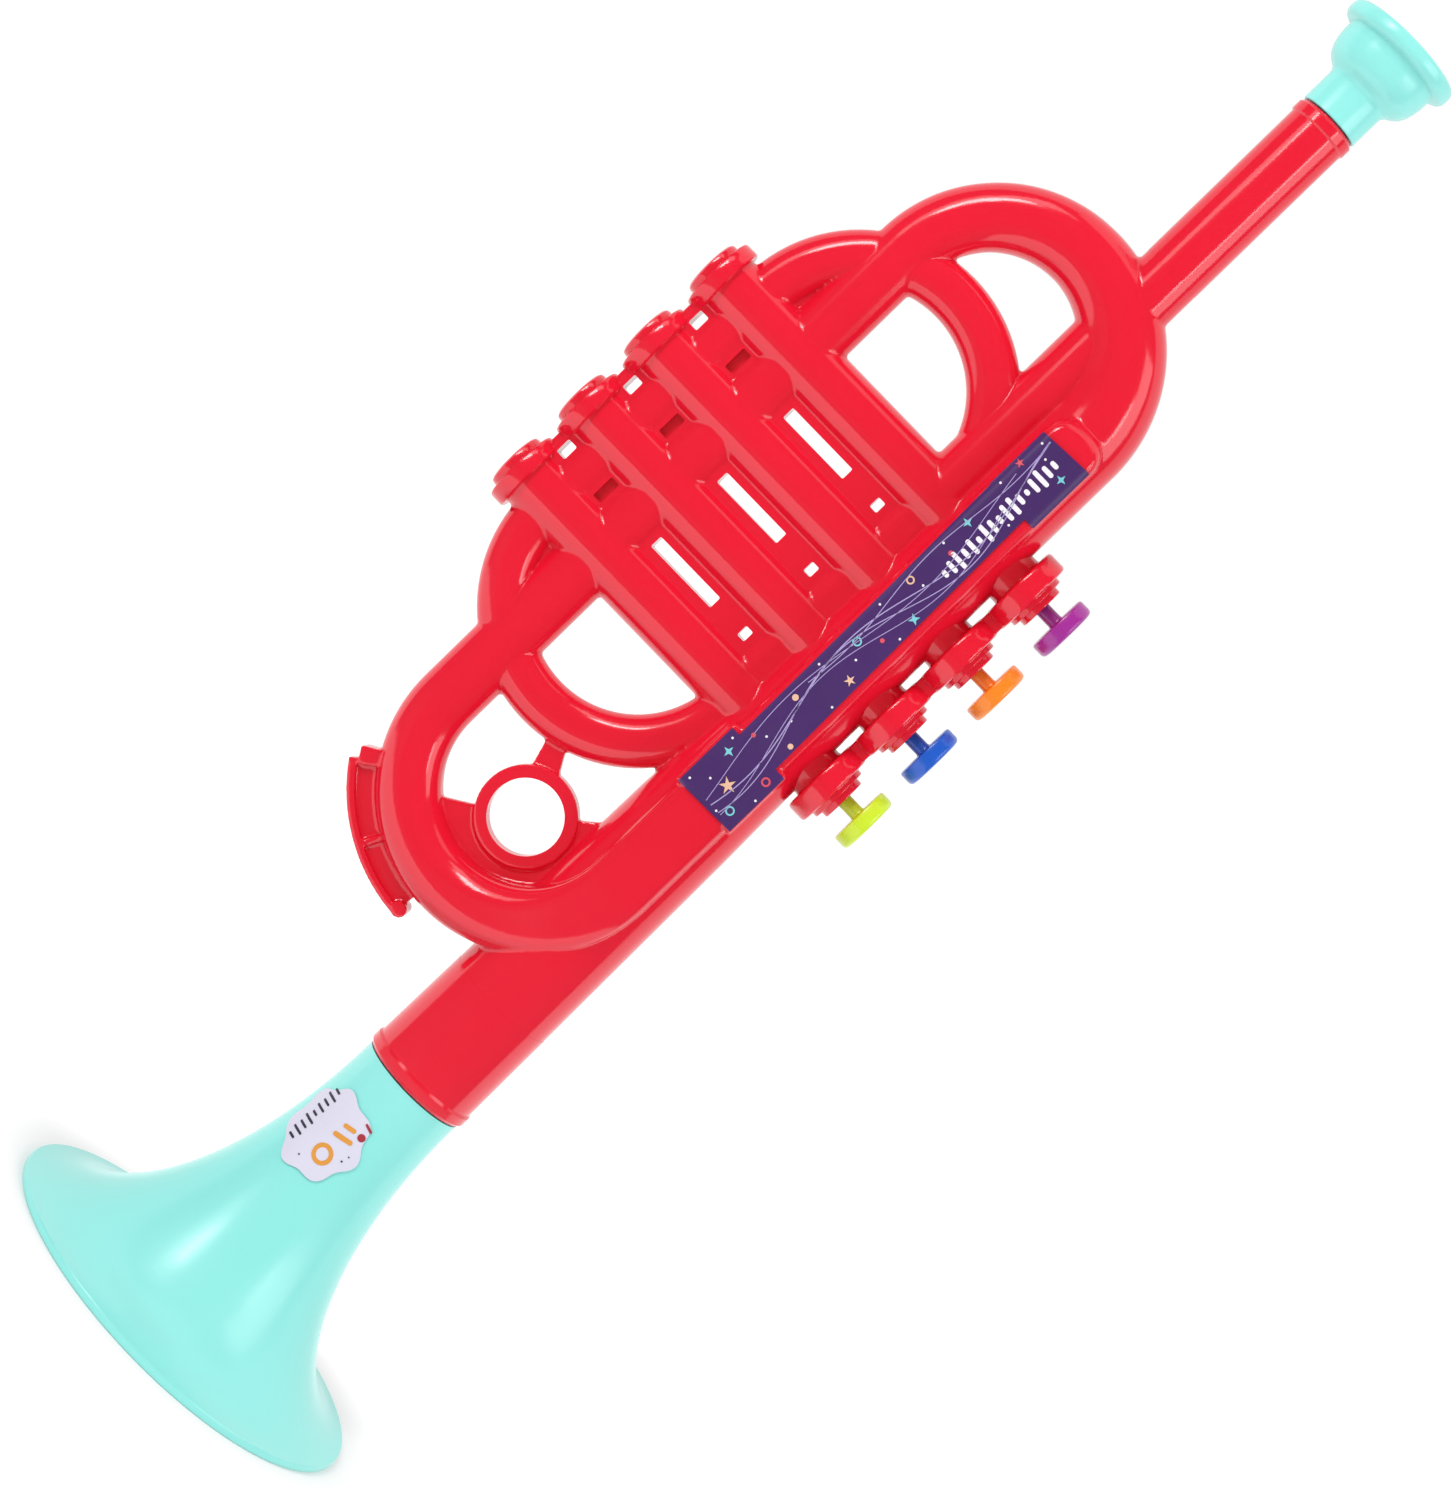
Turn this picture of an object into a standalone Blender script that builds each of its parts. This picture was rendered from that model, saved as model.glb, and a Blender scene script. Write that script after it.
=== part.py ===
# Toy trumpet with four spring-loaded buttons, modelled at its real size in metres.
# It stands on the bell: +Z runs up the bell's axis to the mouthpiece, +X points to the buttons,
# and the parting plane of the two red half shells is Y = 0. The labelled side faces -Y.
# Lengths called _X, _Z or _RISE are measured from the bell's axis and its mouth.

import math

import bmesh
import bpy
from mathutils import Matrix, Vector

# General clearances and walls
FIT = 0.0003                 # gap between pieces that touch or pass through each other
SEAM_GAP = 0.0003            # gap between the two half shells
WALL = 0.0017                # wall of the moulded shells
OVERRUN = 0.002              # how far a cut runs past the face it opens
RIB = 0.0012                 # thickness of an inner rib

# Bell
BELL_RIM_RADIUS = 0.0455
BELL_THROAT_RADIUS = 0.0129
BELL_HEIGHT = 0.0690
BELL_WALL = 0.0017
BELL_THROAT_PULL = 0.0383     # how long the flare stays close to the throat's line
BELL_RIM_PULL = 0.0191        # how far the flare leaves the rim along its own slope
BELL_RIM_SLOPE = 0.06        # slope of the flare at the rim, in radians
BELL_LIP_HEIGHT = 0.0018
BELL_LIP_ROUND = 0.0006
SPIGOT_LENGTH = 0.0135
SPIGOT_GROOVE_HEIGHT = 0.0022
SPIGOT_GROOVE_DEPTH = 0.0009
SPIGOT_GROOVE_RISE = 0.0062

# Main pipe, from the bell up into the upper loop
PIPE_MOUTH_RADIUS = 0.0129
PIPE_MID_RADIUS = 0.0119
PIPE_ROW_RADIUS = 0.0109
PIPE_TOP_RADIUS = 0.0103
PIPE_MID_RISE = 0.0786       # above the pipe's mouth
BEAD_STAND = 0.0004          # how far a bead stands proud of its pipe
BEAD_HEIGHT = 0.0030

# Loops of tube in the parting plane
BAR_X = 0.0003
LOOP_RADIUS = 0.02665
LEG_RADIUS = 0.0069
LOOP_CROWN_RADIUS = 0.0082   # where the thin tube meets the wide one
LOOP_WIDE_RADIUS = 0.0092
LOOP_JOIN_ANGLE = 0.87       # in radians above the level of the loop's centre
JOIN_LAP_ANGLE = 0.2         # how far the thin tube reaches into the wide one
UPPER_LOOP_RISE = 0.0304     # loop's centre above the top row
LOWER_LOOP_DROP = 0.0449     # loop's centre below the bottom row
LOWER_LOOP_RADIUS = 0.0070
TUBE_DEPTH_SHARE = 0.86      # half depth of a round tube, as a share of its half width
TUBE_ROUND_SHARE = 0.74      # corner radius of a round tube, as a share of its half width
HOLLOW_ROUND_SHARE = 0.59    # the same for its eight-sided hollow

# Inner ring of tube
RING_X = -0.0390
RING_RADIUS = 0.0280
RING_TUBE_RADIUS = 0.0057
RING_RISE = 0.0039           # upper centre above the top row
RING_DROP = 0.0030           # lower centre below the bottom row

# Lead pipe and its seat for the mouthpiece
LEAD_X = -0.0114
LEAD_RADIUS = 0.0069
LEAD_RISE = 0.1116           # pipe's mouth above the top row

# Raised bar that carries the label, one tube with the lower loop
BAR_HALF_WIDTH = 0.0066
BAR_HALF_DEPTH = 0.0141
BAR_CORNER = 0.0024
BAR_FOOT_HALF_WIDTH = 0.0080
BAR_FOOT_RISE = -0.0205      # foot of the label's seat, from the bottom row
BAR_FOOT_TOP_RISE = -0.0050
BAR_END_RISE = 0.0299        # rounded end above the top row
BAR_END_ROUND = 0.0045
BAR_END_CUT_SHARE = 0.75     # how much of that round is taken off the sides

# Valve rows
ROW_COUNT = 4
ROW_PITCH = 0.0191
ROW_START_RISE = 0.1063      # bottom row above the bell
ROW_RADIUS = 0.00705
CAP_REACH = 0.0794           # end of the cap's dome, left of the bell's axis
CAP_DOME = 0.0021
CAP_DOME_RADIUS = 0.0065
CAP_FLANGE = 0.0035
CAP_FLANGE_RADIUS = 0.00865
CAP_EDGE = 0.0007
CAP_LINK_HALF_DEPTH = 0.0030

# Web between the rows, with its holes
WEB_HALF_DEPTH = 0.0038
CRESCENT_HALF_DEPTH = 0.0019
WEB_MARGIN = 0.0054          # web beyond the outer rows' axes
SLOT_LEFT_X = -0.0459
SLOT_RIGHT_X = -0.0282
SLOT_HEIGHT = 0.0029
END_HOLE_LEFT_X = -0.0738
END_HOLE_RIGHT_X = -0.0715
END_HOLE_HEIGHT = 0.0033
DENT_LEFT_X = -0.0615
DENT_RIGHT_X = -0.0598
DENT_HEIGHT = 0.0037
DENT_FLOOR = 0.0010
SMALL_HOLE_LEFT_X = -0.0203
SMALL_HOLE_RIGHT_X = -0.0183
SMALL_HOLE_HEIGHT = 0.0027

# Collars that guide the buttons
COLLAR_BASE_X = 0.0070
COLLAR_BASE_RADIUS = 0.0062
COLLAR_FLANGE_X = 0.0124
COLLAR_FLANGE_RADIUS = 0.0092
COLLAR_FLANGE_BEVEL = 0.0008
COLLAR_STEP_X = 0.0172
COLLAR_STEP_RADIUS = 0.0066
COLLAR_NOSE_X = 0.0184
COLLAR_NOSE_RADIUS = 0.0051
COLLAR_END_X = 0.0199
COLLAR_LINK_WIDTH = 0.0045
SPRING_ROOM_RADIUS = 0.0044
SPRING_ROOM_END_X = 0.0172

# Buttons
TRAVEL = 0.0035              # how far a button slides in
PRESS_CLEARANCE = 0.0006     # left between disc and collar when the button is pressed
BUTTON_DISC_THICKNESS = 0.0036
BUTTON_DISC_RADIUS = 0.0069
BUTTON_DISC_ROUND = 0.0010
STEM_RADIUS = 0.00165
STEM_NECK_RADIUS = 0.0012
STOP_FLANGE_RADIUS = 0.0036
STOP_FLANGE_THICKNESS = 0.0013
PAD_RADIUS = 0.0039
PAD_THICKNESS = 0.0023
PAD_BEVEL = 0.0006
CLIP_RADIUS = 0.0027
CLIP_THICKNESS = 0.0008
CLIP_SLOT = 0.0016
STEM_TIP = 0.0012            # stem beyond the clip

# Springs
SPRING_MEAN_RADIUS = 0.00275
SPRING_WIRE_RADIUS = 0.00025
SPRING_TURNS = 5
SPRING_TURN_STEPS = 6

# Reed frame and the plate that closes it
PORT_FACE_X = -0.0042        # face that the pads close
PORT_WALL = 0.0014
CELL_DEPTH = 0.0044
FRAME_HALF_DEPTH = 0.0082
FRAME_MARGIN = 0.0097        # frame beyond the outer rows' axes
CELL_HALF_DEPTH = 0.0068
CELL_HALF_HEIGHT = 0.0080
PORT_RADIUS = 0.0030
REED_PLATE = 0.0012
GUIDE_BOSS_RADIUS = 0.0033
GUIDE_BOSS_HEIGHT = 0.0013
REED_Y = 0.0052
REED_SLOT_HALF_WIDTH = 0.00125
REED_SLOT_LENGTH = 0.0110
REED_HALF_WIDTH = 0.00095
REED_THICKNESS = 0.0003
REED_ROOT = 0.0030
RIVET_RADIUS = 0.0003
RIVET_HEAD_RADIUS = 0.0007
RIVET_HEAD = 0.0004
RAIL_REACH = 0.0066          # how near the parting plane the frame's rails come

# Mouthpiece
MOUTH_NECK_RADIUS = 0.0071
MOUTH_NECK = 0.0081
MOUTH_CUP_START_RADIUS = 0.0100
MOUTH_CUP_RADIUS = 0.0115
MOUTH_CUP = 0.0098
MOUTH_CUP_FOOT = 0.0024      # straight step between the neck and the swelling cup
MOUTH_RIM_RADIUS = 0.0140
MOUTH_RIM = 0.0041
MOUTH_RIM_ROUND = 0.0015
MOUTH_BOWL_RADIUS = 0.0092
MOUTH_BOWL_DEPTH = 0.0112
MOUTH_BORE_RADIUS = 0.0027
MOUTH_SPIGOT = 0.0110

# Finger ring and its web inside the lower loop
FINGER_X = -0.0238
FINGER_DROP = 0.0501         # below the bottom row
FINGER_HOLE_RADIUS = 0.0082
FINGER_RING_RADIUS = 0.0110
FINGER_HALF_DEPTH = 0.0026
FINGER_WEB_HALF_DEPTH = 0.0016
FINGER_WEB_START = 0.72      # ray from the ring's centre, in radians
FINGER_WEB_END = -2.57
FINGER_NECK_WIDTH = 0.0042
FINGER_NECK_ANGLE = 1.98
FINGER_NECK_FOOT_SHARE = 1.5 # width where it leaves the ring, as a share of the neck's

# Water-key plate under the lower loop
KEY_INNER_RADIUS = 0.0300
KEY_OUTER_RADIUS = 0.0395
KEY_RIM = 0.0018
KEY_START = 3.77             # angles about the loop's centre, in radians
KEY_END = 4.66
KEY_HALF_DEPTH = 0.0024
KEY_RIM_HALF_DEPTH = 0.0034
KEY_RIB_ANGLE = 4.24
KEY_RIB_WIDTH = 0.0016
KEY_BOSS_RADIUS = 0.0017
KEY_NUB_WIDTH = 0.0034

# Screws, put in from the back
SCREW_RADIUS = 0.0011
SCREW_HEAD_RADIUS = 0.0022
SCREW_HEAD = 0.0013
SCREW_HEAD_ROUND = 0.0005
SCREW_POINT_RADIUS = 0.0005
SCREW_BITE = 0.0040          # length in the front shell
SCREW_SEAT = 0.0022          # plastic under the head, behind the parting plane
SCREW_BOSS_RADIUS = 0.0038

# Labels
LABEL_THICKNESS = 0.0003
LABEL_TOP_RISE = 0.0251      # above the top row
LABEL_TOP_HEIGHT = 0.0152
LABEL_TOP_HALF_WIDTH = 0.0064
LABEL_MID_HALF_WIDTH = 0.0051
LABEL_FOOT_HEIGHT = 0.0160
LABEL_FOOT_HALF_WIDTH = 0.0076
LABEL_FOOT_DROP = 0.0199     # below the bottom row
STICKER_Z = 0.0518
STICKER_X = -0.0048
STICKER_HALF_WIDTH = 0.0086
STICKER_HALF_HEIGHT = 0.0100
STICKER_LOBE = 0.0007
STICKER_LOBES = 7

# Facets
ROUND_STEPS = 16
TUBE_STEPS = 12
INNER_STEPS = 8
SMALL_STEPS = 8
PIN_STEPS = 6
CORNER_STEPS = 2
INNER_CORNER_STEPS = 1
BELL_STEPS = 28
BELL_CURVE_STEPS = 7
BEND_STEPS = 8
BAR_END_STEPS = 3
KEY_STEPS = 8
CUP_STEPS = 4
SMOOTH_ANGLE = 0.6
FLAT_ANGLE = 0.01            # faces that differ by less, in radians, are joined
SLIVER = 0.0001              # points nearer than this are joined

# Places worked out from the sizes above
bell_axis_x = (CAP_REACH - BELL_RIM_RADIUS) / 2
disc_x = COLLAR_END_X + TRAVEL + PRESS_CLEARANCE
pipe_mouth_z = BELL_HEIGHT + FIT
row_zs = [BELL_HEIGHT + ROW_START_RISE + i * ROW_PITCH for i in range(ROW_COUNT)]
top_row_z = row_zs[-1]
low_row_z = row_zs[0]
leg_x = BAR_X - 2 * LOOP_RADIUS
loop_x = BAR_X - LOOP_RADIUS
upper_loop_z = top_row_z + UPPER_LOOP_RISE
lower_loop_z = low_row_z - LOWER_LOOP_DROP
upper_ring_z = top_row_z + RING_RISE
lower_ring_z = low_row_z - RING_DROP
lead_mouth_z = top_row_z + LEAD_RISE
finger_z = low_row_z - FINGER_DROP
bar_foot_z = low_row_z + BAR_FOOT_RISE
bar_end_z = top_row_z + BAR_END_RISE
frame_low_z = low_row_z - FRAME_MARGIN
frame_top_z = top_row_z + FRAME_MARGIN
frame_right_x = PORT_FACE_X + PORT_WALL + CELL_DEPTH
plate_x = frame_right_x + FIT
plate_right_x = plate_x + REED_PLATE
boss_end_x = plate_right_x + GUIDE_BOSS_HEIGHT
stop_right_x = SPRING_ROOM_END_X - FIT
stop_left_x = stop_right_x - STOP_FLANGE_THICKNESS
pad_right_x = PORT_FACE_X - FIT
clip_right_x = pad_right_x - PAD_THICKNESS - FIT
stem_end_x = clip_right_x - CLIP_THICKNESS - STEM_TIP
button_names = ["lime", "blue", "orange", "purple"][:ROW_COUNT]

COLOURS = {
    "red": (0.82, 0.014, 0.030, 1), "teal": (0.33, 0.84, 0.76, 1), "purple": (0.40, 0.035, 0.35, 1),
    "orange": (1.0, 0.28, 0.012, 1), "blue": (0.016, 0.10, 0.63, 1), "lime": (0.62, 0.86, 0.03, 1),
    "label": (0.065, 0.022, 0.16, 1), "sticker": (0.72, 0.68, 0.82, 1), "steel": (0.62, 0.62, 0.62, 1),
    "brass": (0.78, 0.53, 0.18, 1), "rubber": (0.05, 0.05, 0.05, 1), "ivory": (0.78, 0.75, 0.66, 1),
}
ROUGHNESS = {"steel": 0.3, "brass": 0.3, "rubber": 0.8, "label": 0.35, "sticker": 0.5, "ivory": 0.45}
METALS = {"steel", "brass"}


def clear_scene():
    for old in list(bpy.data.objects):
        bpy.data.objects.remove(old, do_unlink=True)


def make_material(name, colour):
    material = bpy.data.materials.new(name + "_finish")
    material.use_nodes = True
    shader = material.node_tree.nodes["Principled BSDF"]
    shader.inputs["Base Color"].default_value = COLOURS[colour]
    shader.inputs["Roughness"].default_value = ROUGHNESS.get(colour, 0.25)
    shader.inputs["Metallic"].default_value = 1.0 if colour in METALS else 0.0
    return material


def add_mesh(name, bm):
    """Turn a bmesh into an object with outward faces."""
    bmesh.ops.recalc_face_normals(bm, faces=bm.faces)
    if bm.calc_volume(signed=True) < 0:
        bmesh.ops.reverse_faces(bm, faces=bm.faces)
    mesh = bpy.data.meshes.new(name)
    bm.to_mesh(mesh)
    bm.free()
    obj = bpy.data.objects.new(name, mesh)
    bpy.context.scene.collection.objects.link(obj)
    return obj


def box(name, low, high):
    bm = bmesh.new()
    bmesh.ops.create_cube(bm, size=1.0)
    size = [b - a for a, b in zip(low, high)]
    middle = [(a + b) / 2 for a, b in zip(low, high)]
    bmesh.ops.transform(bm, matrix=Matrix.Translation(middle) @ Matrix.Diagonal((*size, 1)), verts=bm.verts)
    return add_mesh(name, bm)


def turned(name, profile, steps=ROUND_STEPS, along="Z", at=(0, 0, 0), phase_share=0.5):
    """Spin a closed outline of (radius, distance) points about Z, X or Y through a point.

    The phase is the share of a step by which the facets' corners are turned off the axes.
    """
    bm = bmesh.new()
    points = [bm.verts.new((r, 0, h)) for r, h in profile]
    edges = [bm.edges.new((points[i], points[(i + 1) % len(points)])) for i in range(len(points))]
    bmesh.ops.spin(bm, geom=points + edges, cent=(0, 0, 0), axis=(0, 0, 1), dvec=(0, 0, 0),
                   angle=2 * math.pi, steps=steps, use_merge=True, use_duplicate=False)
    bmesh.ops.remove_doubles(bm, verts=bm.verts, dist=FIT / 1000)
    bmesh.ops.delete(bm, geom=[e for e in bm.edges if not e.link_faces], context="EDGES")
    poles = [v for v in bm.verts if math.hypot(v.co.x, v.co.y) < FIT / 1000]
    bmesh.ops.dissolve_verts(bm, verts=poles)
    turn = Matrix.Rotation(2 * math.pi / steps * phase_share, 4, "Z")
    if along == "X":
        turn = Matrix.Rotation(math.pi / 2, 4, "Y") @ turn
    if along == "Y":
        turn = Matrix.Rotation(-math.pi / 2, 4, "X") @ turn
    bmesh.ops.transform(bm, matrix=Matrix.Translation(at) @ turn, verts=bm.verts)
    return add_mesh(name, bm)


def rod(name, radius, start, end, along="X", at=(0, 0), steps=TUBE_STEPS):
    """A round bar between two distances along X, Y or Z, with its axis through a point."""
    place = {"X": (0, at[0], at[1]), "Y": (at[0], 0, at[1]), "Z": (at[0], at[1], 0)}[along]
    return turned(name, [(0, start), (radius, start), (radius, end), (0, end)], steps, along, place)


def plate(name, outline, half_depth, middle=0.0):
    """A flat piece with an outline of (x, z) points, equally deep on both sides of Y = middle."""
    bm = bmesh.new()
    face = bm.faces.new([bm.verts.new((x, middle - half_depth, z)) for x, z in outline])
    raised = bmesh.ops.extrude_face_region(bm, geom=[face])
    lifted = [v for v in raised["geom"] if isinstance(v, bmesh.types.BMVert)]
    bmesh.ops.translate(bm, vec=(0, 2 * half_depth, 0), verts=lifted)
    return add_mesh(name, bm)


def arc(centre, radius, start, end, steps):
    """Points (x, z) along an arc, both ends included."""
    angles = [start + (end - start) * i / steps for i in range(steps + 1)]
    return [(centre[0] + radius * math.cos(a), centre[1] + radius * math.sin(a)) for a in angles]


def section(half_width, half_depth, corner, steps=CORNER_STEPS):
    """A rounded oblong as (across, y) points, with its corners as short arcs."""
    points = []
    for quarter, (sx, sy) in enumerate([(1, 1), (-1, 1), (-1, -1), (1, -1)]):
        cx = sx * (half_width - corner)
        cy = sy * (half_depth - corner)
        for i in range(steps + 1):
            angle = (quarter + i / steps) * math.pi / 2
            points.append((cx + corner * math.cos(angle), cy + corner * math.sin(angle)))
    return points


def inner_section(half_width, half_depth, corner):
    return section(half_width, half_depth, corner, INNER_CORNER_STEPS)


def sweep(name, stations, shape, closed=False):
    """Join sections along a path in the XZ plane. A station is (x, z, heading, size...)."""
    bm = bmesh.new()
    rings = []
    for x, z, heading, *size in stations:
        across = Vector((math.sin(heading), 0, -math.cos(heading)))
        ring = [bm.verts.new(Vector((x, y, z)) + across * a) for a, y in shape(*size)]
        rings.append(ring)
    count = len(rings[0])
    pairs = list(zip(rings, rings[1:] + rings[:1])) if closed else list(zip(rings, rings[1:]))
    for lower, upper in pairs:
        for i in range(count):
            j = (i + 1) % count
            bm.faces.new((lower[i], lower[j], upper[j], upper[i]))
    if not closed:
        bm.faces.new(rings[0])
        bm.faces.new(rings[-1])
    return add_mesh(name, bm)


def round_shape(radius, steps=ROUND_STEPS):
    angles = [2 * math.pi * (i + 1 / 2) / steps for i in range(steps)]
    return [(radius * math.cos(a), radius * math.sin(a)) for a in angles]


def inner_round_shape(radius):
    return round_shape(radius, TUBE_STEPS)


def arc_stations(centre, radius, start, end, steps, first_size, last_size):
    """Stations along an arc, with the heading of travel and sizes that change evenly."""
    turn = 1 if end > start else -1
    stations = []
    for i in range(steps + 1):
        share = i / steps
        angle = start + (end - start) * share
        size = [a + (b - a) * share for a, b in zip(first_size, last_size)]
        stations.append((centre[0] + radius * math.cos(angle), centre[1] + radius * math.sin(angle),
                         angle + turn * math.pi / 2, *size))
    return stations


def combine(base, others, operation="UNION"):
    """Apply one Boolean of several solids to the base and take those solids away."""
    group = bpy.data.collections.new(base.name + "_tools")
    bpy.context.scene.collection.children.link(group)
    for other in others:
        group.objects.link(other)
    modifier = base.modifiers.new("combine", "BOOLEAN")
    modifier.operation = operation
    modifier.solver = "EXACT"
    modifier.operand_type = "COLLECTION"
    modifier.collection = group
    bake(base)
    for other in others:
        bpy.data.objects.remove(other, do_unlink=True)
    bpy.data.collections.remove(group)
    return base


def bake(obj):
    """Replace an object's mesh by what its modifiers make of it."""
    bpy.context.view_layer.update()
    shaped = obj.evaluated_get(bpy.context.evaluated_depsgraph_get())
    mesh = bpy.data.meshes.new_from_object(shaped)
    obj.modifiers.clear()
    obj.data = mesh
    return obj


def tidied(obj):
    """Drop the needless edges and slivers that a chain of Booleans leaves on nearly flat faces."""
    bm = bmesh.new()
    bm.from_mesh(obj.data)
    bmesh.ops.dissolve_limit(bm, angle_limit=FLAT_ANGLE, verts=bm.verts, edges=bm.edges)
    bmesh.ops.remove_doubles(bm, verts=bm.verts, dist=SLIVER)
    bm.to_mesh(obj.data)
    bm.free()
    return obj


def copy_of(obj, name):
    twin = bpy.data.objects.new(name, obj.data.copy())
    bpy.context.scene.collection.objects.link(twin)
    return twin


def wide_stations(inset=0.0, overrun=0.0):
    """The wide tube: main pipe, then a short way into the upper loop."""
    mouth = pipe_mouth_z - overrun
    up = math.pi / 2
    straight = [
        (0.0, mouth, up, PIPE_MOUTH_RADIUS - inset),
        (0.0, pipe_mouth_z + PIPE_MID_RISE, up, PIPE_MID_RADIUS - inset),
        (BAR_X, low_row_z, up, PIPE_ROW_RADIUS - inset),
        (BAR_X, top_row_z, up, PIPE_TOP_RADIUS - inset),
    ]
    bend = arc_stations((loop_x, upper_loop_z), LOOP_RADIUS, 0, LOOP_JOIN_ANGLE, BEND_STEPS // 2,
                        [PIPE_TOP_RADIUS - inset], [LOOP_WIDE_RADIUS - inset])
    return straight + bend


def tube_size(radius, inset, depth_share=TUBE_DEPTH_SHARE):
    """Half width, half depth and corner of a round tube, a little flatter than it is wide."""
    return [radius - inset, radius * depth_share - inset, (radius - inset) * round_share(inset)]


def round_share(inset):
    return HOLLOW_ROUND_SHARE if inset > 0 else TUBE_ROUND_SHARE


def bar_stations(inset=0.0):
    """One tube: upper loop, left leg, lower loop and the raised bar that carries the label."""
    stations = arc_stations((loop_x, upper_loop_z), LOOP_RADIUS, LOOP_JOIN_ANGLE - JOIN_LAP_ANGLE, math.pi,
                            BEND_STEPS, tube_size(LOOP_CROWN_RADIUS, inset, 1), tube_size(LEG_RADIUS, inset))
    shallow = LEG_RADIUS * TUBE_DEPTH_SHARE - inset
    deep = BAR_HALF_DEPTH - inset
    steps = BEND_STEPS + 1
    for i in range(steps + 1):
        share = i / steps
        ease = share * share * (3 - 2 * share)
        angle = math.pi * (1 + share)
        width = LEG_RADIUS + (LOWER_LOOP_RADIUS - LEG_RADIUS) * ease - inset
        stations.append((loop_x + LOOP_RADIUS * math.cos(angle), lower_loop_z + LOOP_RADIUS * math.sin(angle),
                         angle + math.pi / 2, width, shallow + (deep - shallow) * ease,
                         width * round_share(inset)))
    up = math.pi / 2
    loop_width = LOWER_LOOP_RADIUS - inset
    foot_width = BAR_FOOT_HALF_WIDTH - inset
    bar_width = BAR_HALF_WIDTH - inset
    corner = BAR_CORNER - inset * BAR_CORNER / LOWER_LOOP_RADIUS
    stations += [
        (BAR_X, bar_foot_z - BAR_END_ROUND, up, loop_width, deep, loop_width * round_share(inset)),
        (BAR_X, bar_foot_z, up, foot_width, deep, corner),
        (BAR_X, low_row_z + BAR_FOOT_TOP_RISE, up, foot_width, deep, corner),
        (BAR_X, low_row_z, up, bar_width, deep, corner),
    ]
    for i in range(BAR_END_STEPS + 1):
        angle = math.pi / 2 * i / BAR_END_STEPS
        cut = BAR_END_ROUND * (1 - math.cos(angle)) * BAR_END_CUT_SHARE
        rise = bar_end_z - BAR_END_ROUND + (BAR_END_ROUND - inset) * math.sin(angle)
        stations.append((BAR_X, rise, up, bar_width - cut, deep - cut, min(corner, bar_width - cut)))
    return stations


def ring_stations(inset=0.0):
    """The closed inner ring: two half circles and the straight runs through the rows."""
    size = tube_size(RING_TUBE_RADIUS, inset)
    upper = arc_stations((RING_X, upper_ring_z), RING_RADIUS, 0, math.pi, BEND_STEPS, size, size)
    lower = arc_stations((RING_X, lower_ring_z), RING_RADIUS, math.pi, 2 * math.pi, BEND_STEPS, size, size)
    return upper + lower


def body_outside():
    """The outer form of both half shells together."""
    base = sweep("wide_tube", wide_stations(), round_shape)
    solids = [sweep("bar_tube", bar_stations(), section),
              sweep("ring_tube", ring_stations(), section, closed=True),
              rod("lead_tube", LEAD_RADIUS, top_row_z + RIB, lead_mouth_z, "Z", (LEAD_X, 0))]
    for name, radius, start, x in (("mouth_bead", PIPE_MOUTH_RADIUS, pipe_mouth_z + FIT, 0.0),
                                   ("lead_bead", LEAD_RADIUS, lead_mouth_z - BEAD_HEIGHT - FIT, LEAD_X)):
        edge = BEAD_HEIGHT / 4
        outer = radius + BEAD_STAND
        profile = [(0, start), (outer - edge / 2, start), (outer, start + edge),
                   (outer, start + BEAD_HEIGHT - edge), (outer - edge / 2, start + BEAD_HEIGHT),
                   (0, start + BEAD_HEIGHT)]
        solids.append(turned(name, profile, ROUND_STEPS, "Z", (x, 0, 0)))
    for i, z in enumerate(row_zs):
        solids.append(valve_row(i, z))
        solids += button_collar(i, z)
    solids += row_webs() + ring_webs() + finger_ring() + water_key()
    return combine(base, solids)


def valve_row(i, z):
    """One valve casing with its flange and domed cap, turned about the row's axis."""
    flange = -CAP_REACH + CAP_DOME
    inner = flange + CAP_FLANGE
    round_off = CAP_DOME / 2
    profile = [
        (0, -CAP_REACH), (CAP_DOME_RADIUS - round_off, -CAP_REACH), (CAP_DOME_RADIUS, -CAP_REACH + round_off),
        (CAP_DOME_RADIUS, flange), (CAP_FLANGE_RADIUS - CAP_EDGE, flange),
        (CAP_FLANGE_RADIUS, flange + CAP_EDGE), (CAP_FLANGE_RADIUS, inner),
        (ROW_RADIUS, inner), (ROW_RADIUS, BAR_X - RIB), (0, BAR_X - RIB),
    ]
    return turned(f"valve_row_{i}", profile, TUBE_STEPS, "X", (0, 0, z))


def button_collar(i, z):
    """Round base and flange with a stepped nose, about the row's axis."""
    base = COLLAR_BASE_RADIUS
    wide = COLLAR_FLANGE_RADIUS
    bevel = COLLAR_FLANGE_BEVEL
    flange = turned(f"collar_{i}", [
        (0, COLLAR_BASE_X), (base, COLLAR_BASE_X), (base, COLLAR_FLANGE_X),
        (wide - bevel, COLLAR_FLANGE_X), (wide, COLLAR_FLANGE_X + bevel), (wide, COLLAR_STEP_X - bevel),
        (wide - bevel, COLLAR_STEP_X), (0, COLLAR_STEP_X)], ROUND_STEPS, "X", (0, 0, z))
    nose = turned(f"collar_nose_{i}", [
        (0, COLLAR_STEP_X - bevel), (COLLAR_STEP_RADIUS, COLLAR_STEP_X - bevel),
        (COLLAR_STEP_RADIUS, COLLAR_NOSE_X), (COLLAR_NOSE_RADIUS, COLLAR_NOSE_X),
        (COLLAR_NOSE_RADIUS, COLLAR_END_X), (0, COLLAR_END_X)], TUBE_STEPS, "X", (0, 0, z))
    return [flange, nose]


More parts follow.
